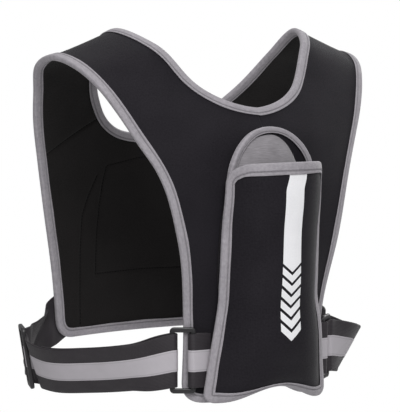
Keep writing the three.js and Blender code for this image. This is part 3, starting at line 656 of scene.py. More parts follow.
def tape_stitch_rows(surface, x, t, directions, closed, thick, slack, width):
    """Stitch lines in the groove of a folded tape, on its outer and inner face."""
    sx, st = walk(surface, x, t, directions, np.full(len(x), STITCH_INSET * width / TAPE_WIDTH))
    if closed:
        sx, st = np.append(sx, sx[:1]), np.append(st, st[:1])
    point, _, _, normal = frame_on(surface, sx, st)
    height = thick / 2 + slack + TAPE - STITCH_SUNK
    return [(point + normal * height * face, normal * face) for face in FACES]


# Materials

def node(tree, kind, inputs=None, **settings):
    """A shader node with its settings, and each input either a number or the socket that feeds it."""
    made = tree.nodes.new(kind)
    for key, value in settings.items():
        setattr(made, key, value)
    for key, value in (inputs or {}).items():
        if isinstance(value, bpy.types.NodeSocket):
            tree.links.new(value, made.inputs[key])
        else:
            made.inputs[key].default_value = value
    return made


def math(tree, operation, *values):
    """The result of one sum in a shader tree."""
    return node(tree, "ShaderNodeMath", dict(enumerate(values)), operation=operation).outputs[0]


def spread(tree, value, low, high):
    """A value from zero to one, spread from a low to a high one."""
    return math(tree, "MULTIPLY_ADD", value, high - low, low)


def blend_colours(tree, factor, a, b, how="MIX"):
    """The colour between two others, or their product."""
    made = node(tree, "ShaderNodeMix", {0: factor, 6: a, 7: b}, data_type="RGBA", blend_type=how)
    return made.outputs[2]


def new_group(name, inputs, output):
    """An empty shader group with named inputs and one output, and the sockets of its two end nodes."""
    tree = bpy.data.node_groups.new(name, "ShaderNodeTree")
    for label in inputs:
        kind = "NodeSocketVector" if label == "Vector" else "NodeSocketFloat"
        tree.interface.new_socket(label, in_out="INPUT", socket_type=kind)
    tree.interface.new_socket(output, in_out="OUTPUT", socket_type="NodeSocketFloat")
    return tree, tree.nodes.new("NodeGroupInput").outputs, tree.nodes.new("NodeGroupOutput").inputs


def make_mottle():
    """Uneven dye: one plus an amount times noise of a given patch size, from minus to plus one."""
    tree, given, put = new_group("uneven_dye", ("Vector", "Patch", "Amount"), "Shade")
    scale = math(tree, "DIVIDE", 1.0, given["Patch"])
    noise = node(tree, "ShaderNodeTexNoise", {"Vector": given["Vector"], "Scale": scale, "Detail": 3.0})
    swing = spread(tree, noise.outputs["Fac"], low=-1.0, high=1.0)
    shade = math(tree, "MULTIPLY", swing, given["Amount"])
    tree.links.new(math(tree, "ADD", shade, 1.0), put["Shade"])
    return tree


def make_ribs():
    """Woven ribs: the size of a sine across the strip, deepened by a finer sine along it."""
    tree, given, put = new_group("woven_ribs", ("Vector", "Along", "Across"), "Height")
    place = node(tree, "ShaderNodeSeparateXYZ", {0: given["Vector"]})
    waves = []
    for axis, pitch in ((0, given["Along"]), (1, given["Across"])):
        turns = math(tree, "DIVIDE", place.outputs[axis], pitch)
        waves.append(math(tree, "ABSOLUTE", math(tree, "SINE", math(tree, "MULTIPLY", turns, np.pi))))
    finer = spread(tree, waves[0], low=0.55, high=1.0)
    tree.links.new(math(tree, "MULTIPLY", waves[1], finer), put["Height"])
    return tree


def make_fibres():
    """Brushed fibres: noise drawn out along one direction of the pattern, from zero to one."""
    tree, given, put = new_group("brushed_fibres", ("Vector", "Width", "Stretch"), "Height")
    place = node(tree, "ShaderNodeSeparateXYZ", {0: given["Vector"]})
    drawn = math(tree, "DIVIDE", place.outputs[0], given["Stretch"])
    vector = node(tree, "ShaderNodeCombineXYZ", {0: drawn, 1: place.outputs[1], 2: place.outputs[2]})
    scale = math(tree, "DIVIDE", 1.0, given["Width"])
    noise = node(tree, "ShaderNodeTexNoise", {"Vector": vector.outputs[0], "Scale": scale, "Detail": 2.0})
    tree.links.new(noise.outputs["Fac"], put["Height"])
    return tree


def make_dark_line():
    """A dark line: one less an amount times a bell curve of the distance from a middle, over a width."""
    tree, given, put = new_group("dark_line", ("Place", "Middle", "Width", "Amount"), "Shade")
    off = math(tree, "DIVIDE", math(tree, "SUBTRACT", given["Place"], given["Middle"]), given["Width"])
    bell = math(tree, "EXPONENT", math(tree, "MULTIPLY", math(tree, "MULTIPLY", off, off), -1.0))
    shade = math(tree, "SUBTRACT", 1.0, math(tree, "MULTIPLY", bell, given["Amount"]))
    tree.links.new(shade, put["Shade"])
    return tree


MOTTLE = make_mottle()
RIBS = make_ribs()
FIBRES = make_fibres()
DARK_LINE = make_dark_line()


def effect(tree, group, source, **values):
    """A shared effect placed in a material: the socket that feeds it, and its own values."""
    made = node(tree, "ShaderNodeGroup", node_tree=group)
    tree.links.new(source, made.inputs[0])
    for key, value in values.items():
        made.inputs[key].default_value = value
    return made.outputs[0]


def new_material(name, **sockets):
    """A material with a Principled shader whose even values are set on its own sockets."""
    material = bpy.data.materials.new(name)
    material.use_nodes = True
    shader = material.node_tree.nodes["Principled BSDF"]
    for label, value in sockets.items():
        shader.inputs[label.replace("_", " ")].default_value = value
    return material, material.node_tree, shader


def pattern_place(tree):
    """Where a point lies on the piece's flat pattern, in metres."""
    return node(tree, "ShaderNodeUVMap", uv_map="pattern").outputs[0]


def object_place(tree):
    """Where a point lies in the vest's own frame, in metres."""
    return node(tree, "ShaderNodeTexCoord").outputs["Object"]


def finish_cloth(tree, shader, colour, shade, roughness, height, depth):
    """Colour times shade, roughness over the same shade, and a bump of the height's depth in metres."""
    tree.links.new(blend_colours(tree, 1.0, colour, shade, "MULTIPLY"), shader.inputs["Base Color"])
    tree.links.new(math(tree, "DIVIDE", roughness, shade), shader.inputs["Roughness"])
    bump = node(tree, "ShaderNodeBump", {"Strength": 1.0, "Distance": depth, "Height": height})
    tree.links.new(bump.outputs[0], shader.inputs["Normal"])


def rgb(red, green, blue):
    """A colour in linear light, with full alpha."""
    return (red, green, blue, 1.0)


def make_neoprene():
    """Black knit-faced neoprene, a little browner and duller inside, with a fine knit and uneven dye."""
    even = {"Sheen_Weight": 0.08, "Sheen_Roughness": 0.45, "Specular_IOR_Level": 0.18}
    material, tree, shader = new_material("black_neoprene", **even)
    place = pattern_place(tree)
    inside = node(tree, "ShaderNodeAttribute", attribute_name="inside").outputs["Fac"]
    colour = blend_colours(tree, inside, rgb(0.0098, 0.0082, 0.0118), rgb(0.0085, 0.0072, 0.0072))
    broad = effect(tree, MOTTLE, object_place(tree), Patch=0.045, Amount=0.22)
    fine = effect(tree, MOTTLE, place, Patch=0.0016, Amount=0.3)
    knit = effect(tree, RIBS, place, Along=0.0011, Across=0.0009)
    shade = math(tree, "MULTIPLY", broad, fine)
    finish_cloth(tree, shader, colour, shade, roughness=0.72, height=knit, depth=0.00012)
    return material


def make_tape():
    """Grey binding tape: brushed along its length, with painted shade darkening the groove under the
    stitches.
    """
    even = {"Sheen_Weight": 0.2, "Sheen_Roughness": 0.4, "Specular_IOR_Level": 0.3}
    material, tree, shader = new_material("grey_binding", **even)
    place = pattern_place(tree)
    inset = node(tree, "ShaderNodeSeparateXYZ", {0: place}).outputs[1]
    # Painted shade: a dark line along the groove under the stitches, where the groove's shadow falls.
    groove = effect(tree, DARK_LINE, inset, Middle=STITCH_INSET * MM, Width=0.0007, Amount=0.35)
    fibres = effect(tree, FIBRES, place, Width=0.0008, Stretch=5.0)
    streaks = spread(tree, fibres, low=0.75, high=1.25)
    broad = effect(tree, MOTTLE, object_place(tree), Patch=0.02, Amount=0.14)
    worn = effect(tree, MOTTLE, place, Patch=0.003, Amount=0.22)
    uneven = math(tree, "MULTIPLY", broad, worn)
    shade = math(tree, "MULTIPLY", math(tree, "MULTIPLY", streaks, uneven), groove)
    colour = rgb(0.315, 0.297, 0.322)
    finish_cloth(tree, shader, colour, shade, roughness=0.68, height=fibres, depth=0.00025)
    return material


def make_lining():
    """Grey brushed lining: long soft fibres across the tongue, with uneven dye."""
    material, tree, shader = new_material("grey_brushed_lining", Sheen_Weight=0.35, Sheen_Roughness=0.5)
    place = pattern_place(tree)
    fibres = effect(tree, FIBRES, place, Width=0.0012, Stretch=6.0)
    streaks = spread(tree, fibres, low=0.75, high=1.25)
    broad = effect(tree, MOTTLE, object_place(tree), Patch=0.012, Amount=0.16)
    shade = math(tree, "MULTIPLY", streaks, broad)
    colour = rgb(0.235, 0.222, 0.238)
    finish_cloth(tree, shader, colour, shade, roughness=0.9, height=fibres, depth=0.0004)
    return material


def make_film():
    """Light silver reflective film: fine glass beads under a smooth face, with slight rubbing."""
    material, tree, shader = new_material("silver_film")
    place = pattern_place(tree)
    beads = node(tree, "ShaderNodeTexVoronoi", {"Vector": place, "Scale": 1600.0}).outputs["Distance"]
    fine = effect(tree, MOTTLE, place, Patch=0.0012, Amount=0.07)
    broad = effect(tree, MOTTLE, object_place(tree), Patch=0.015, Amount=0.05)
    shade = math(tree, "MULTIPLY", fine, broad)
    colour = rgb(0.87, 0.868, 0.89)
    finish_cloth(tree, shader, colour, shade, roughness=0.5, height=beads, depth=0.00008)
    return material


def make_webbing():
    """Black webbing: ribs along its length crossed by finer picks, its colour paler on the rib crowns and
    darker between them.
    """
    material, tree, shader = new_material("black_webbing", Sheen_Weight=0.1, Sheen_Roughness=0.4)
    place = pattern_place(tree)
    ribs = effect(tree, RIBS, place, Along=0.0012, Across=0.0013)
    crowns = spread(tree, ribs, low=0.7, high=1.25)
    broad = effect(tree, MOTTLE, object_place(tree), Patch=0.01, Amount=0.12)
    shade = math(tree, "MULTIPLY", crowns, broad)
    colour = rgb(0.0178, 0.0138, 0.0182)
    finish_cloth(tree, shader, colour, shade, roughness=0.6, height=ribs, depth=0.0002)
    return material


def make_webbing_stripe():
    """Grey stripe of the webbing: fine picks across it, with a dark line of stitches near each edge."""
    material, tree, shader = new_material("grey_webbing_stripe")
    place = pattern_place(tree)
    across = math(tree, "ABSOLUTE", node(tree, "ShaderNodeSeparateXYZ", {0: place}).outputs[1])
    line = effect(tree, DARK_LINE, across, Middle=0.0084, Width=0.0004, Amount=0.22)
    picks = effect(tree, RIBS, place, Along=0.0009, Across=0.0011)
    crowns = spread(tree, picks, low=0.92, high=1.04)
    broad = effect(tree, MOTTLE, object_place(tree), Patch=0.012, Amount=0.06)
    shade = math(tree, "MULTIPLY", math(tree, "MULTIPLY", crowns, broad), line)
    colour = rgb(0.455, 0.43, 0.462)
    finish_cloth(tree, shader, colour, shade, roughness=0.55, height=picks, depth=0.00006)
    return material


def make_plastic():
    """Black moulded plastic: satin, with a fine spark-eroded grain and slight rubbing."""
    material, tree, shader = new_material("black_moulded_plastic")
    place = object_place(tree)
    grain = effect(tree, FIBRES, place, Width=0.0006, Stretch=1.0)
    rubbed = effect(tree, MOTTLE, place, Patch=0.009, Amount=0.25)
    colour = rgb(0.018, 0.017, 0.019)
    finish_cloth(tree, shader, colour, rubbed, roughness=0.36, height=grain, depth=0.00006)
    return material


def make_thread(name, colour):
    """Twisted thread: fine ribs and uneven dye."""
    material, tree, shader = new_material(name, Specular_IOR_Level=0.05)
    place = object_place(tree)
    twist = effect(tree, RIBS, place, Along=0.0005, Across=0.0005)
    uneven = effect(tree, MOTTLE, place, Patch=0.004, Amount=0.2)
    finish_cloth(tree, shader, colour, uneven, roughness=0.7, height=twist, depth=0.0001)
    return material


NEOPRENE = make_neoprene()
BINDING = make_tape()
LINING = make_lining()
SILVER = make_film()
WEBBING = make_webbing()
STRIPE = make_webbing_stripe()
PLASTIC = make_plastic()
GREY_THREAD = make_thread("grey_thread", rgb(0.24, 0.228, 0.246))
# The black thread is darker than the cloth: on the back's seams and pocket lines it also draws their shadow
# as dark lines, partly painted shade.
BLACK_THREAD = make_thread("black_thread", rgb(0.005, 0.0045, 0.005))


# Outlines on the pattern

def spaced(start, stop, count):
    """Even steps from a start up to, but without, the stop."""
    return np.linspace(start, stop, count, endpoint=False)


def round_corner(start, control, stop, count):
    """A quadratic curve from a start to a stop, drawn towards a control point."""
    f = spaced(0, 1, count)[:, None]
    return (1 - f) ** 2 * np.array(start) + 2 * f * (1 - f) * np.array(control) + f**2 * np.array(stop)


def side_point(t):
    """Pattern point of the body's side edge at pattern length t."""
    return np.stack([edge_x(t), t + np.zeros(np.shape(t))], -1)


def outer_half():
    """Left half of the body's outer edge, from the middle of the front hem round the side to the middle of
    the back hem: hems and sides joined by round corners."""
    low, high = HEM_CORNER, PATTERN_LENGTH - HEM_CORNER
    front_x, back_x = edge_x(0.0), edge_x(PATTERN_LENGTH)
    start_x, end_x = front_x - HEM_CORNER, back_x - HEM_CORNER
    stops = (low, SHOULDER_T - STRAP_HALF, SHOULDER_T + STRAP_HALF, YOKE_T, high)
    sides = np.concatenate([spaced(*span) for span in zip(stops, stops[1:], SIDE_STEPS)])
    front = spaced(0, start_x, FRONT_HEM_STEPS)
    back = np.linspace(end_x, 0, BACK_HEM_STEPS)
    return np.concatenate([
        np.stack([front, front_hem(front)], 1),
        round_corner((start_x, front_hem(start_x)), (front_x, 0), side_point(low), CORNER_STEPS),
        side_point(sides),
        round_corner(side_point(high), (back_x, PATTERN_LENGTH), (end_x, PATTERN_LENGTH), CORNER_STEPS),
        np.stack([back, np.full(len(back), PATTERN_LENGTH)], 1),
    ])


def edge_angle(line):
    """Degrees from the front of each pattern point, seen from the shoulder's middle."""
    return np.degrees(np.arctan2(line[..., 0], SHOULDER_T - line[..., 1]))


def neck_half(outer):
    """Neckline points that face the outer edge's: the edge's angles are spread so that the yoke seam meets
    the neckline at its own angle, and the neckline's radius is read there."""
    edge = edge_angle(outer)
    yoke = edge_angle(side_point(YOKE_T))
    before = edge * YOKE_NECK_ANGLE / yoke
    after = 180 - (180 - edge) * (180 - YOKE_NECK_ANGLE) / (180 - yoke)
    angle = np.where(edge <= yoke, before, after)
    radius = neck_radius(angle)[:, 0]
    turn = np.radians(angle)
    return np.stack([radius * np.sin(turn), SHOULDER_T - radius * np.cos(turn)], 1)


def whole_loop(half):
    """A half line and its mirror image, joined into one loop."""
    return np.concatenate([half, half[-2:0:-1] * (-1, 1)])


class Edge:
    """An edge line of a cloth surface: its pattern points and the directions that lead inwards from it."""

    def __init__(self, surface, line, closed, side):
        self.surface = surface
        self.x, self.t = line[:, 0], line[:, 1]
        self.closed = closed
        self.inward = inward(surface, self.x, self.t, closed, side)

    def inset(self, distance):
        """Pattern points of the line moved inwards by a distance."""
        return np.stack(walk(self.surface, self.x, self.t, self.inward, distance), 1)


def bind(name, edge, thick, slack, replaced, width=TAPE_WIDTH):
    """Folded tape along an edge, with its two rows of stitches."""
    line = (edge.surface, edge.x, edge.t, edge.inward, edge.closed, thick, slack, width)
    tape = folded_tape(name + "_tape", *line)
    add_piece(name + "_tape", tape, BINDING, replaced)
    threads = stitch_mesh(name + "_stitches", tape_stitch_rows(*line))
    add_piece(name + "_stitches", threads, GREY_THREAD)


# Body

def seamed(grid):
    """A panel's grid with closer rows at both ends, at shares of the way from the seam to the next row.
    Also how deep the seam pinches each point: a bell curve of its distance."""
    def closer(end, after):
        return np.stack([end + (after - end) * share for share in SEAM_SHARES])

    start, finish = closer(grid[0], grid[1]), closer(grid[-1], grid[-2])[::-1]
    fine = np.concatenate([start, grid[1:-1], finish])
    points = body(fine[..., 0], fine[..., 1])
    ends = [np.linalg.norm(points - body(end[:, 0], end[:, 1]), axis=-1) for end in (grid[0], grid[-1])]
    pinch = SEAM_PINCH * np.exp(-((np.minimum(*ends) / SEAM_HALF) ** 2))
    return fine[..., 0], fine[..., 1], pinch


def distance_to(line, x, up):
    """Distance of pattern points, taken on the left half, from a line of straight spans."""
    corners = np.array(line, float)
    place = np.stack([np.abs(x), up], -1)
    nearest = np.full(np.shape(x), np.inf)
    for a, b in zip(corners, corners[1:]):
        share = np.clip((place - a) @ (b - a) / ((b - a) @ (b - a)), 0, 1)
        nearest = np.minimum(nearest, np.linalg.norm(place - a - share[..., None] * (b - a), axis=-1))
    return nearest


def sewn_rows(x, t, depth):
    """Stitch rows on both faces of the body along a line of pattern points, in a groove of some depth."""
    point, _, _, normal = frame_on(body, x, t)
    height = WALL / 2 - depth + SEWN_PROUD
    return [(point + normal * face * height, normal * face) for face in FACES]


def back_stitches(yoke_seams):
    """Stitch rows along both yoke seams, and along the pocket's sewn lines on both halves of the back."""
    rows = []
    # The yoke seams' stitch rows are real stitches that also stand in for the seam's shadow line: partly
    # painted shade.
    for seam in yoke_seams:
        rows += sewn_rows(seam[:, 0], seam[:, 1], SEAM_PINCH)
    for line in (POCKET_SIDE, POCKET_FLANK):
        corners = np.array(line, float)
        length = lengths_along(corners)
        x, up = read_along(np.linspace(0, length[-1], SEWN_STEPS), length, corners).T
        for side in SIDES.values():
            rows += sewn_rows(side * x, PATTERN_LENGTH - up, SEWN_DEPTH)
    return rows


OUTER_HALF = outer_half()
NECK_HALF = neck_half(OUTER_HALF)
OUTER_EDGE = Edge(body, whole_loop(OUTER_HALF), True, 1)
NECK_EDGE = Edge(body, whole_loop(NECK_HALF), True, -1)
YOKE_ROW = FRONT_HEM_STEPS + CORNER_STEPS + sum(SIDE_STEPS[:3])
FAR_YOKE_ROW = 2 * len(OUTER_HALF) - 2 - YOKE_ROW


def body_grid(first, last, columns):
    """Pattern points of a panel: rungs of the loop, each straight from the neckline to the outer edge."""
    f = np.linspace(0, 1, columns)[:, None]
    neck = NECK_EDGE.inset(EDGE_IN_FOLD)[first : last + 1, None]
    outer = OUTER_EDGE.inset(EDGE_IN_FOLD)[first : last + 1, None]
    return neck + (outer - neck) * f


def add_body():
    """Two front panels, the back panel with its pocket's sewn lines, and the tapes that bind them."""
    x, t, pinch = seamed(body_grid(0, YOKE_ROW, FRONT_COLUMNS))
    for where, side in SIDES.items():
        mesh = cloth_wall("chest_cloth_" + where, body, side * x, t, WALL, pinch)
        panel = add_piece("chest_cloth_" + where, mesh, NEOPRENE, "front_panel_" + where)
    grid = body_grid(YOKE_ROW, FAR_YOKE_ROW, BACK_COLUMNS)
    x, t, pinch = seamed(grid)
    up = PATTERN_LENGTH - t
    near = np.minimum(distance_to(POCKET_SIDE, x, up), distance_to(POCKET_FLANK, x, up))
    pressed = np.maximum(pinch, SEWN_DEPTH * np.exp(-((near / SEWN_HALF) ** 2)))
    mesh = cloth_wall("back_cloth", body, x, t, WALL, pressed)
    panel = add_piece("back_cloth", mesh, NEOPRENE, "back_panel")
    threads = stitch_mesh("back_stitches", back_stitches((grid[0], grid[-1])), SEWN_RADIUS)
    add_piece("back_stitches", threads, BLACK_THREAD)
    bind("neck", NECK_EDGE, WALL, TAPE_SLACK, "neck_binding")
    bind("edge", OUTER_EDGE, WALL, TAPE_SLACK, "edge_binding")


# Pouch

def pouch_face(x, t):
    """Middle of the pouch's face: it stands off the body by the edge's height and lift, plus a bulge that
    is a slightly squared parabola across, and sinks by its sag in the middle. The bulge starts inside the
    side tapes, more so low down, where the left corner also droops."""
    half, _, _, lift, _ = np.moveaxis(pouch_at(t), -1, 0)
    _, depth, sag, _, _ = np.moveaxis(pouch_at(t - front_hem(x)), -1, 0)
    low = smoothstep((POUCH_FLAT_TOP - t) / POUCH_FLAT_REACH)
    room = 1 - (x / (half - POUCH_FLAT * low)) ** 2
    share = 1 - (room + np.hypot(room, POUCH_CREASE * low)) / 2
    point, _, _, normal = frame_on(body, x, t)
    bulge = depth * (1 - share) * (1 + POUCH_ROUNDING * share)
    droop = POUCH_DROOP * smoothstep(x / half) * smoothstep(1 - t / DROOP_TOP)
    fall = sag * (1 - share) + droop
    return point + normal * (POUCH_EDGE_MIDDLE + lift + bulge)[..., None] - UP * fall[..., None]


def corner_drop(from_side, radius):
    """How far a round corner falls away at a distance from the side: a quarter of a circle."""
    short = np.clip(radius - from_side, 0, radius)
    return radius - np.sqrt(radius**2 - short**2)


def pouch_points(side, up, inset=0.0):
    """Pattern points of the pouch's face from the right side (-1) to the left (1) and from the foot (0) to
    the mouth (1), with round corners and the outline moved inwards by an inset."""
    foot_half, top_half = pouch_at(np.array((POUCH_FOOT, POUCH_TOP)))[:, 0]
    half = foot_half + (top_half - foot_half) * up - inset
    from_side = half * (1 - np.abs(side))
    foot = POUCH_FOOT + inset + front_hem(side * half) + corner_drop(from_side, POUCH_FOOT_CORNER - inset)
    top = POUCH_TOP - inset - corner_drop(from_side, POUCH_TOP_CORNER - inset)
    t = foot + (top - foot) * up
    return np.stack([side * (pouch_at(t)[..., 0] - inset), t], -1)


def eased(count):
    """Steps from 0 to 1 that lie closer together at both ends: half of one less a cosine."""
    return (1 - np.cos(np.linspace(0, np.pi, count))) / 2


def pouch_loop():
    """The pouch's outline: up the right side, along the mouth, down the left side, back along the foot."""
    ups, sides = eased(POUCH_ROWS), 2 * eased(POUCH_COLUMNS)[1:-1] - 1
    still_ups, still_sides = np.ones(len(ups)), np.ones(len(sides))
    return np.concatenate([
        pouch_points(-still_ups, ups),
        pouch_points(sides, still_sides),
        pouch_points(still_ups, ups[::-1]),
        pouch_points(sides[::-1], 0 * still_sides),
    ])


def tongue_points(side, up, foot, inset):
    """Pattern points of the pouch's back or lining: from a foot line to the tongue's edge behind the mouth,
    no wider than the pouch. The edge is a half ellipse with a power above two, which leans sideways."""
    arch = (1 - np.abs(side) ** TONGUE_POWER) ** (1 / TONGUE_POWER)
    top = TONGUE_FOOT + (TONGUE_TOP - TONGUE_FOOT - inset) * arch
    t = foot + (top - foot) * up
    half, _, _, _, tuck = np.moveaxis(pouch_at(t), -1, 0)
    flare = BACK_FLARE * np.maximum(0, TONGUE_FOOT - t)
    return side * np.minimum(half - tuck, TONGUE_HALF - EDGE_IN_FOLD + flare) + tongue_lean(t), t


def tongue_rise(t):
    """Height over the tongue's foot, as a share of the tongue's own."""
    return np.maximum(0, t - TONGUE_FOOT) / (TONGUE_TOP - TONGUE_FOOT)


def tongue_lean(t):
    """How far the tongue leans sideways: the lean of its top times the share of its height."""
    return TONGUE_LEAN * tongue_rise(t)


def rim_lift(x, t):
    """The tongue's rim curls forwards: a square of the way from a share of its outline to the outline, eased
    in over the lower half of the tongue."""
    across = np.abs(x - tongue_lean(t)) / TONGUE_HALF
    share = (across**TONGUE_POWER + tongue_rise(t) ** TONGUE_POWER) ** (1 / TONGUE_POWER)
    curl = np.clip((share - RIM_FROM) / (1 - RIM_FROM), 0, 1) ** 2
    return RIM_LIFT * curl * smoothstep(2 * tongue_rise(t))


def pouch_back_height(x, t):
    """The pouch's back lies on the front panel, with its rim lifted."""
    return POUCH_BACK_MIDDLE + rim_lift(x, t)


def tongue_middle(x, t):
    """The middle of the layers that the tongue's tape folds over."""
    return OVER_BINDING + TONGUE_CLOTH / 2 + rim_lift(x, t)


def lining_height(x, t):
    """The lining lies flat under the tape and swells inside it: one less the fifth power of the distance
    from the middle, as a share of the lining's own edge, which lies nearer on the left."""
    across = x - tongue_lean(t)
    # The nearer left edge leaves the black back cloth showing beside the lining: painted shade under the
    # rim.
    half = np.where(across > 0, LINING_LEFT_SHARE * TONGUE_HALF, TONGUE_HALF - TONGUE_TAPE)
    along = np.maximum(0, t - TONGUE_FOOT) / (TONGUE_TOP - TONGUE_FOOT - LINING_DROP)
    share = np.minimum(1, np.hypot(across / half, along))
    return LINING_MIDDLE + LINING_BULGE * (1 - share**LINING_POWER) + rim_lift(x, t)


def pointed_film(name, top, foot, top_point, rows):
    """A strip of film on the pouch whose ends run down to a point in the middle, in two straight slopes."""
    side, f = np.meshgrid(np.linspace(-1, 1, FILM_COLUMNS), np.linspace(0, 1, rows))
    drop = 1 - np.abs(side)
    start, stop = top - top_point * drop, foot - STRIPE_POINT * drop
    surface = standing_off(pouch_face, POUCH_WALL / 2 + FILM / 2 + FILM_OFF)
    t = start + (stop - start) * f
    kink = STRIPE_KINK * smoothstep((t - STRIPE_KINK_FOOT) / STRIPE_KINK_RISE)
    return cloth_wall(name, surface, side * STRIPE_HALF + kink, t, FILM)


def add_pouch():
    """The pouch's face with its tape."""
    side, up = np.meshgrid(2 * eased(POUCH_COLUMNS) - 1, eased(POUCH_ROWS))
    x, t = np.moveaxis(pouch_points(side, up, EDGE_IN_FOLD), -1, 0)
    mesh = cloth_wall("pouch_cloth", pouch_face, x, t, POUCH_WALL)
    face = add_piece("pouch_cloth", mesh, NEOPRENE, "pouch_face")
    outline = Edge(pouch_face, pouch_loop(), True, -1)
    bind("pouch", outline, POUCH_WALL, POUCH_SLACK, "pouch_binding", width=POUCH_TAPE)


def add_tongue():
    """The pouch's back, the lining of its tongue, and the tongue's tape."""
    side, up = np.meshgrid(2 * eased(BACK_STEPS) - 1, np.linspace(0, 1, BACK_STEPS))
    x, t = tongue_points(side, up, POUCH_FOOT + FRONT_ARCH_RISE, EDGE_IN_FOLD)
    mesh = cloth_wall("pouch_back_cloth", standing_off(body, pouch_back_height), x, t, BACK_WALL)
    back = add_piece("pouch_back_cloth", mesh, NEOPRENE, "pouch_back")
    x, t = tongue_points(side, up, LINING_FOOT, LINING_DROP)
    leaning = tongue_lean(t)
    # The lining is cut narrower on the left so that the black back cloth shows there as painted shade.
    x = np.where(side > 0, leaning + (x - leaning) * LINING_LEFT_SHARE, x)
    mesh = cloth_wall("tongue_lining", standing_off(body, lining_height), x, t, LINING_WALL)
    lining = add_piece("tongue_lining", mesh, LINING, "pouch_lining")
    turn = np.linspace(0, np.pi, TONGUE_STEPS)
    reach = signed_power(np.cos(turn), 2 / TONGUE_POWER)
    t = TONGUE_FOOT + (TONGUE_TOP - TONGUE_FOOT) * np.sin(turn) ** (2 / TONGUE_POWER)
    line = np.stack([TONGUE_HALF * reach + tongue_lean(t), t], 1)
    tongue = Edge(standing_off(body, tongue_middle), line, False, 1)
    bind("tongue", tongue, TONGUE_CLOTH, TAPE_SLACK, "tongue_binding", width=TONGUE_TAPE)


def add_film():
    """The stripe of film down the pouch's face, and the chevrons below it."""
    mesh = pointed_film("film_stripe", STRIPE_TOP, STRIPE_FOOT, 0.0, STRIPE_ROWS)
    add_piece("film_stripe", mesh, SILVER, "reflective_stripe")
    for k in range(1, CHEVRON_COUNT + 1):
        foot = STRIPE_FOOT - k * CHEVRON_PITCH
        top = foot + CHEVRON_PITCH - CHEVRON_GAP
        name = f"film_chevron_{k}"
        mesh = pointed_film(name, top, foot, STRIPE_POINT, CHEVRON_ROWS)
        add_piece(name, mesh, SILVER, f"chevron_{k}")


# Belt

def on_tab(x, height):
    """Points over the front panel along the tab's middle line."""
    return standing_off(body, height)(x, np.full(np.shape(x), TAB_UP))


BAR_CLEAR = np.hypot(RING_BAR, RING_THICK) / 2 + GAP + WEBBING_THICK / 2
BAR_TURN = BAR_CLEAR / np.cos(np.pi / 2 / CAD_TURN_STEPS)
TAB_HEIGHT = OVER_BINDING + WEBBING_THICK / 2 + GAP
BAR_HEIGHT = TAB_HEIGHT + BAR_TURN
INNER_BAR = on_tab(TAB_BAR_X, BAR_HEIGHT)
OUTER_BAR = np.array((*BELT["ring"][:2], INNER_BAR[2]))
RING_ALONG = unit(OUTER_BAR - INNER_BAR)
PANEL_RISE = np.subtract(*body(TAB_BAR_X, TAB_UP + np.array((1, -1)) * WEBBING_WIDTH / 2))
RING_ACROSS = unit(PANEL_RISE - RING_ALONG * dot(PANEL_RISE, RING_ALONG))


def belt_rows():
    """The belt's middle line with its lean: its free rows, then its end on the back panel."""
    sewn_x, sewn_up = np.array(SEWN, float).T
    on_back = standing_off(body, OVER_BINDING + SEWN_OFF + WEBBING_THICK / 2)
    sewn = on_back(sewn_x, PATTERN_LENGTH - sewn_up)
    return np.concatenate([list(BELT.values()), np.insert(sewn, 3, SEWN_LEAN, axis=1)])


BELT_ROWS = belt_rows()
BELT_AT = lengths_along(BELT_ROWS[:, :3])
BELT_LENGTH = BELT_AT[-1]
SLIDER_AT = BELT_AT[list(BELT).index("slider")]
WEAVE_END = WEAVE_HALF + WEAVE_REACH
belt_at = through(BELT_AT, BELT_ROWS)


def belt_frame(s):
    """Point of the belt's middle line at length s from the ring, and its directions along, across and out.
    The width leans outwards from upright, and turns into the ring's own direction next to it."""
    at = belt_at(s)
    along = unit(belt_at(s + SLOPE_STEP)[..., :3] - belt_at(s - SLOPE_STEP)[..., :3])
    out = unit(np.cross(along, UP))
    lean = np.radians(at[..., 3:])
    settled = smoothstep(s / LAYERS_SETTLE)[..., None]
    across = unit(RING_ACROSS * (1 - settled) + (UP * np.cos(lean) + out * np.sin(lean)) * settled)
    normal = unit(np.cross(along, across))
    return at[..., :3], np.cross(across, normal), across, normal


def layer_height(s):
    """Half the distance between the belt's two layers: a ring bar's turn that settles to a thin gap."""
    return BAR_TURN + (LAYERS_APART / 2 - BAR_TURN) * smoothstep(s / LAYERS_SETTLE)


def weave_height(s):
    """Height of the outer layer: it dips under the slider's rails and rises over its bar in a cosine, and
    lies in the middle once past the slider."""
    away = np.abs(s - SLIDER_AT)
    plain = np.where(s < SLIDER_AT, layer_height(s), 0.0)
    leaving = WEAVE_UNDER + (plain - WEAVE_UNDER) * smoothstep((away - WEAVE_HALF) / WEAVE_REACH)
    crossing = WEAVE_OVER + (WEAVE_UNDER - WEAVE_OVER) * (1 - np.cos(np.pi * away / WEAVE_HALF)) / 2
    return np.where(away >= WEAVE_HALF, leaving, crossing)


def even_stations(points, across):
    """Stations of a strip whose width lies in the same direction at each point."""
    return points, np.repeat(across[None], len(points), 0)


def turn_round(point, along, across, normal):
    """Half a circle of the strip round a bar, from its inner to its outer side."""
    a = spaced(0, np.pi, TURN_STEPS)[:, None]
    return even_stations(point - BAR_TURN * (along * np.sin(a) + normal * np.cos(a)), across)


def off_belt(s, height):
    """Stations of the belt at a height off its middle line."""
    point, _, across, normal = belt_frame(s)
    return point + normal * height[:, None], across


def chain(*stretches):
    """Stations of several stretches one after another."""
    return tuple(np.concatenate(part) for part in zip(*stretches))


def strip_section(width, thick):
    """A flat strip's section with half-round edges. Columns are across and height."""
    turn = np.linspace(-np.pi / 2, np.pi / 2, STRIP_EDGE_STEPS)
    flat = np.linspace(-1, 1, STRIP_FLAT_STEPS)[1:-1] * (width - thick) / 2
    edge = np.stack([(width - thick + thick * np.cos(turn)) / 2, thick * np.sin(turn) / 2], 1)
    top = np.stack([flat[::-1], np.full(len(flat), thick / 2)], 1)
    upper = np.concatenate([edge, top])
    return np.concatenate([upper, -upper])


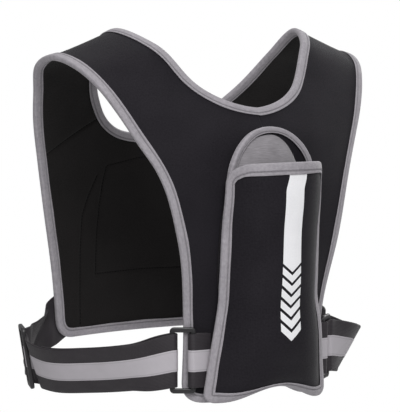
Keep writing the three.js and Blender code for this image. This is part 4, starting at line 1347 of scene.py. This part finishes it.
def strip_mesh(name, stations, width, thick, height):
    """A strip of webbing: its section carried along the stations, upright to the line and its width."""
    points, across = stations
    normal = unit(np.cross(np.gradient(points, axis=0), across))
    section = strip_section(width, thick)
    rings = points[:, None] + across[:, None] * section[:, :1]
    rings = rings + normal[:, None] * (section[:, 1:] + height)
    return swept_mesh(name, rings, section[:, 0], lengths_along(points), False)


def bar_section(wide, thick):
    """A moulded bar's section: a circle's cosine and sine raised to a power below one, so that it is a
    square with round corners."""
    turn = np.arange(BAR_SIDES) * 2 * np.pi / BAR_SIDES
    across, height = signed_power(np.cos(turn), BAR_POWER), signed_power(np.sin(turn), BAR_POWER)
    return np.stack([across * wide / 2, height * thick / 2], 1)


def rounded_rectangle(width, length, radius):
    """Points of a rectangle with quarter-circle corners, and the directions out of it."""
    turn = (np.linspace(0, np.pi / 2, LOOP_CORNER_STEPS) + np.arange(4)[:, None] * np.pi / 2).ravel()
    out = np.stack([np.cos(turn), np.sin(turn)], 1)
    corner = np.repeat([(1, 1), (-1, 1), (-1, -1), (1, -1)], LOOP_CORNER_STEPS, axis=0)
    return corner * (np.array((width, length)) / 2 - radius) + out * radius, out


def moulded_loop(name, frame, width, length, radius, bar, thick):
    """A closed bar along a rounded rectangle that lies in a frame of a point and the directions along,
    across and out."""
    point, along, across, out = frame
    place, away = rounded_rectangle(width, length, radius)
    section = bar_section(bar, thick)
    flat = place[:, None] + away[:, None] * section[:, :1]
    rings = point + flat[..., :1] * along + flat[..., 1:] * across + section[:, 1:] * out
    return swept_mesh(name, rings, section[:, 0], lengths_along(rings[:, 0], True), True)


def moulded_bar(name, frame, length, bar, thick):
    """A straight bar across a frame, from end to end of a length."""
    point, along, across, out = frame
    section = bar_section(bar, thick)
    at = np.linspace(-length / 2, length / 2, BAR_RINGS)[:, None, None]
    rings = point + at * across + section[:, :1] * along + section[:, 1:] * out
    return swept_mesh(name, rings, section[:, 0], at.ravel(), False)


def mirrored_stations(stations):
    """Stations of a strip on the other side of the middle plane."""
    points, across = stations
    return points * (-1, 1, 1), across * (1, -1, -1)


def sagging(points):
    """Points of the left belt, which hangs lower between the ring and the back, in two smooth steps."""
    y = points[..., 1]
    sag = LEFT_SAG * smoothstep((y - SAG_FRONT) / SAG_REACH) * smoothstep((SAG_BACK - y) / SAG_REACH)
    return points - UP * sag[..., None]


def mirrored_frame(frame):
    """A frame on the other side of the middle plane."""
    return tuple(v * np.array((-1, 1, 1)) for v in frame)


def tab_stations():
    """The tab: under the ring's bar along the panel, round the bar, and back over itself a little lower."""
    _, panel_across, _, _ = frame_on(body, np.array(TAB_BAR_X), np.array(TAB_UP))
    across = -RING_ACROSS
    normal = unit(np.cross(-panel_across, across))
    turn = turn_round(INNER_BAR, np.cross(across, normal), across, normal)
    under = on_tab(spaced(TAB_UNDER_X, TAB_BAR_X, TAB_UNDER_STEPS), TAB_HEIGHT)
    over_x = np.linspace(TAB_BAR_X, TAB_OVER_X, TAB_OVER_STEPS)
    share = (over_x - TAB_OVER_X) / (TAB_BAR_X - TAB_OVER_X)
    heights = BAR_HEIGHT + TAB_OVER_DROP + (BAR_TURN - TAB_OVER_DROP) * share
    point, _, _, outward = frame_on(body, over_x, np.full(len(over_x), TAB_UP))
    over = point + outward * heights[:, None]
    return even_stations(under, across), turn, even_stations(over, across)


def belt_stations():
    """The belt: its return layer up to the ring, the turn round the ring's bar, and the long outer layer."""
    before = SLIDER_AT - WEAVE_END
    return_end = LAYERS_SETTLE + RETURN_SHARE * (before - LAYERS_SETTLE)
    back = np.linspace(return_end, 0, RETURN_STEPS, endpoint=False)
    out = np.linspace(0, BELT_LENGTH, BELT_STEPS)
    frame = [part[0] for part in belt_frame(np.zeros(1))]
    return off_belt(back, -layer_height(back)), turn_round(*frame), off_belt(out, weave_height(out))


def later(stations, skipped):
    """Stations without the first few."""
    return tuple(part[skipped:] for part in stations)


def sewn_end_stitches(side):
    """A sewn rectangle through the belt's end on the back panel, on its outer face."""
    corners = np.array([(0, -1), (0, 1), (1, 1), (1, -1), (0, -1)], float)
    at = np.linspace(0, len(corners) - 1, SEWN_BOX_STEPS)
    share, edge = read_along(at, np.arange(len(corners)), corners).T
    s = BELT_LENGTH - SEWN_BOX_END - share * SEWN_BOX
    point, _, across, normal = belt_frame(s)
    height = WEBBING_THICK / 2 + SEWN_BOX_RISE
    placed = point + across * (edge * (WEBBING_WIDTH / 2 - SEWN_BOX_EDGE))[:, None] + normal * height
    flip = np.array((side, 1, 1))
    return placed * flip, normal * flip


def belt_strips():
    """The strips of a belt: CAD node, stations, then width, thickness and height, material and slot. The
    stripes start halfway round the bars."""
    under, tab_turn, over = tab_stations()
    back, belt_turn, out = belt_stations()
    late = TURN_STEPS // 2
    webbing = ((WEBBING_WIDTH, WEBBING_THICK, 0.0), WEBBING, "webbing")
    stripe = ((WEBBING_STRIPE, FILM, STRIPE_HEIGHT), STRIPE, "webbing_stripe")
    return {
        "tab_webbing": ("tab", chain(under, tab_turn, over), *webbing),
        "tab_woven_stripe": ("tab_stripe", chain(later(tab_turn, late), over), *stripe),
        "belt_webbing": ("belt", chain(back, belt_turn, out), *webbing),
        "belt_woven_stripe": ("belt_stripe", chain(later(belt_turn, late), out), *stripe),
    }


def add_ring(where, ring):
    """A moulded ring in its frame, with one long bar in the tab and one in the belt."""
    name = "moulded_ring_" + where
    span = np.linalg.norm(OUTER_BAR - INNER_BAR)
    sizes = (span, RING_LENGTH - RING_BAR, RING_CORNER - RING_BAR / 2, RING_BAR, RING_THICK)
    add_piece(name, moulded_loop(name, ring, *sizes), PLASTIC, "ring_" + where)


def add_slider(where, slider):
    """A moulded slider in its frame: a loop of rails, and a thinner bar across its middle."""
    name = "moulded_slider_" + where
    width, length = SLIDER_WIDTH - SLIDER_RAIL, SLIDER_LENGTH - SLIDER_RAIL
    mesh = moulded_loop(name, slider, width, length, SLIDER_CORNER, SLIDER_RAIL, SLIDER_THICK)
    add_piece(name, mesh, PLASTIC, "slider_" + where)
    lowered = (slider[0] - SLIDER_BAR_DROP * slider[3], *slider[1:])
    name = "slider_bar_" + where
    mesh = moulded_bar(name, lowered, length, SLIDER_BAR, SLIDER_BAR_THICK)
    add_piece(name, mesh, PLASTIC)


def add_belt():
    """Tabs, rings, belts and sliders on both sides, and the stitches that hold the belts to the back."""
    strips = belt_strips()
    ring = ((INNER_BAR + OUTER_BAR) / 2, RING_ALONG, RING_ACROSS, np.cross(RING_ALONG, RING_ACROSS))
    slider = tuple(part[0] for part in belt_frame(np.array([SLIDER_AT])))
    sagged = (sagging(slider[0]), *slider[1:])
    for where, side in SIDES.items():
        for label, (cad_node, stations, section, material, slot) in strips.items():
            placed = (sagging(stations[0]), stations[1]) if side > 0 else mirrored_stations(stations)
            name = f"{label}_{where}"
            add_piece(name, strip_mesh(name, placed, *section), material, f"{cad_node}_{where}")
        add_ring(where, ring if side > 0 else mirrored_frame(ring))
        add_slider(where, sagged if side > 0 else mirrored_frame(slider))
        threads = stitch_mesh("belt_stitches_" + where, [sewn_end_stitches(side)])
        add_piece("belt_stitches_" + where, threads, BLACK_THREAD)


# Camera, floor and light

def add_camera():
    """The camera at the photograph's angle: level at the origin's height, then turned so that the origin
    shows at its own pixel."""
    sine, cosine = np.sin(CAMERA_AZIMUTH), np.cos(CAMERA_AZIMUTH)
    eye = -CAMERA_DISTANCE * np.array((sine, cosine, 0))
    level, right = np.array((sine, cosine, 0)), np.array((cosine, -sine, 0))
    pan = np.arctan2(PHOTO_WIDTH / 2 - HORIZON_PIXEL[0], FOCAL_PIXELS)
    tilt = np.arctan2(PHOTO_HEIGHT / 2 - HORIZON_PIXEL[1], FOCAL_PIXELS)
    level = level * np.cos(pan) + right * np.sin(pan)
    right = np.cross(level, UP)
    forward = level * np.cos(tilt) - UP * np.sin(tilt)
    rise = np.cross(right, forward)
    data = bpy.data.cameras.new("camera")
    data.sensor_width = SENSOR
    data.lens = SENSOR * FOCAL_PIXELS / PHOTO_HEIGHT
    data.clip_end = VIEW_END
    camera = bpy.data.objects.new("camera", data)
    bpy.context.scene.collection.objects.link(camera)
    placed = np.eye(4)
    placed[:3] = np.stack([right, rise, -forward, eye * MM], 1)
    camera.matrix_world = Matrix(placed.tolist())
    bpy.context.scene.camera = camera


def add_floor():
    """A plain pale floor below the vest."""
    mesh = bpy.data.meshes.new("floor")
    half = FLOOR_HALF
    square = [(-half, -half), (half, -half), (half, half), (-half, half)]
    mesh.from_pydata([(x, y, FLOOR_Z) for x, y in square], [], [(0, 1, 2, 3)])
    material, _, _ = new_material("pale_floor", Base_Color=rgb(0.7, 0.7, 0.7), Roughness=0.9)
    mesh.materials.append(material)
    floor = bpy.data.objects.new("floor", mesh)
    bpy.context.scene.collection.objects.link(floor)


def add_light(name, place, size, power):
    """A square soft light that faces the vest's middle."""
    data = bpy.data.lights.new(name, "AREA")
    data.size = size
    data.energy = power
    lamp = bpy.data.objects.new(name, data)
    bpy.context.scene.collection.objects.link(lamp)
    place = np.array(place)
    back = unit(place - np.array(LIT_MIDDLE))
    right = unit(np.cross(UP, back))
    placed = np.eye(4)
    placed[:3] = np.stack([right, np.cross(back, right), back, place], 1)
    lamp.matrix_world = Matrix(placed.tolist())


def add_studio():
    """White surroundings for the camera, weaker ones for the light that they give, and three soft lamps."""
    world = bpy.data.worlds.new("studio")
    world.use_nodes = True
    tree = world.node_tree
    tree.nodes.clear()
    seen = node(tree, "ShaderNodeBackground", {"Strength": 1.0, "Color": rgb(1, 1, 1)})
    way = node(tree, "ShaderNodeTexCoord").outputs["Generated"]
    height = node(tree, "ShaderNodeSeparateXYZ", {0: way}).outputs[2]
    strength = math(tree, "MULTIPLY_ADD", height, SURROUND_RISE, SURROUND_LIGHT)
    given = node(tree, "ShaderNodeBackground", {"Strength": strength, "Color": rgb(1, 1, 1)})
    ray = node(tree, "ShaderNodeLightPath").outputs["Is Camera Ray"]
    mixed = node(tree, "ShaderNodeMixShader", {0: ray, 1: given.outputs[0], 2: seen.outputs[0]})
    node(tree, "ShaderNodeOutputWorld", {"Surface": mixed.outputs[0]})
    bpy.context.scene.world = world
    bpy.context.scene.view_settings.view_transform = "Standard"
    for name, row in LAMPS.items():
        add_light(name, *row)


add_camera()
add_floor()
add_studio()
add_body()
add_pouch()
add_tongue()
add_film()
add_belt()
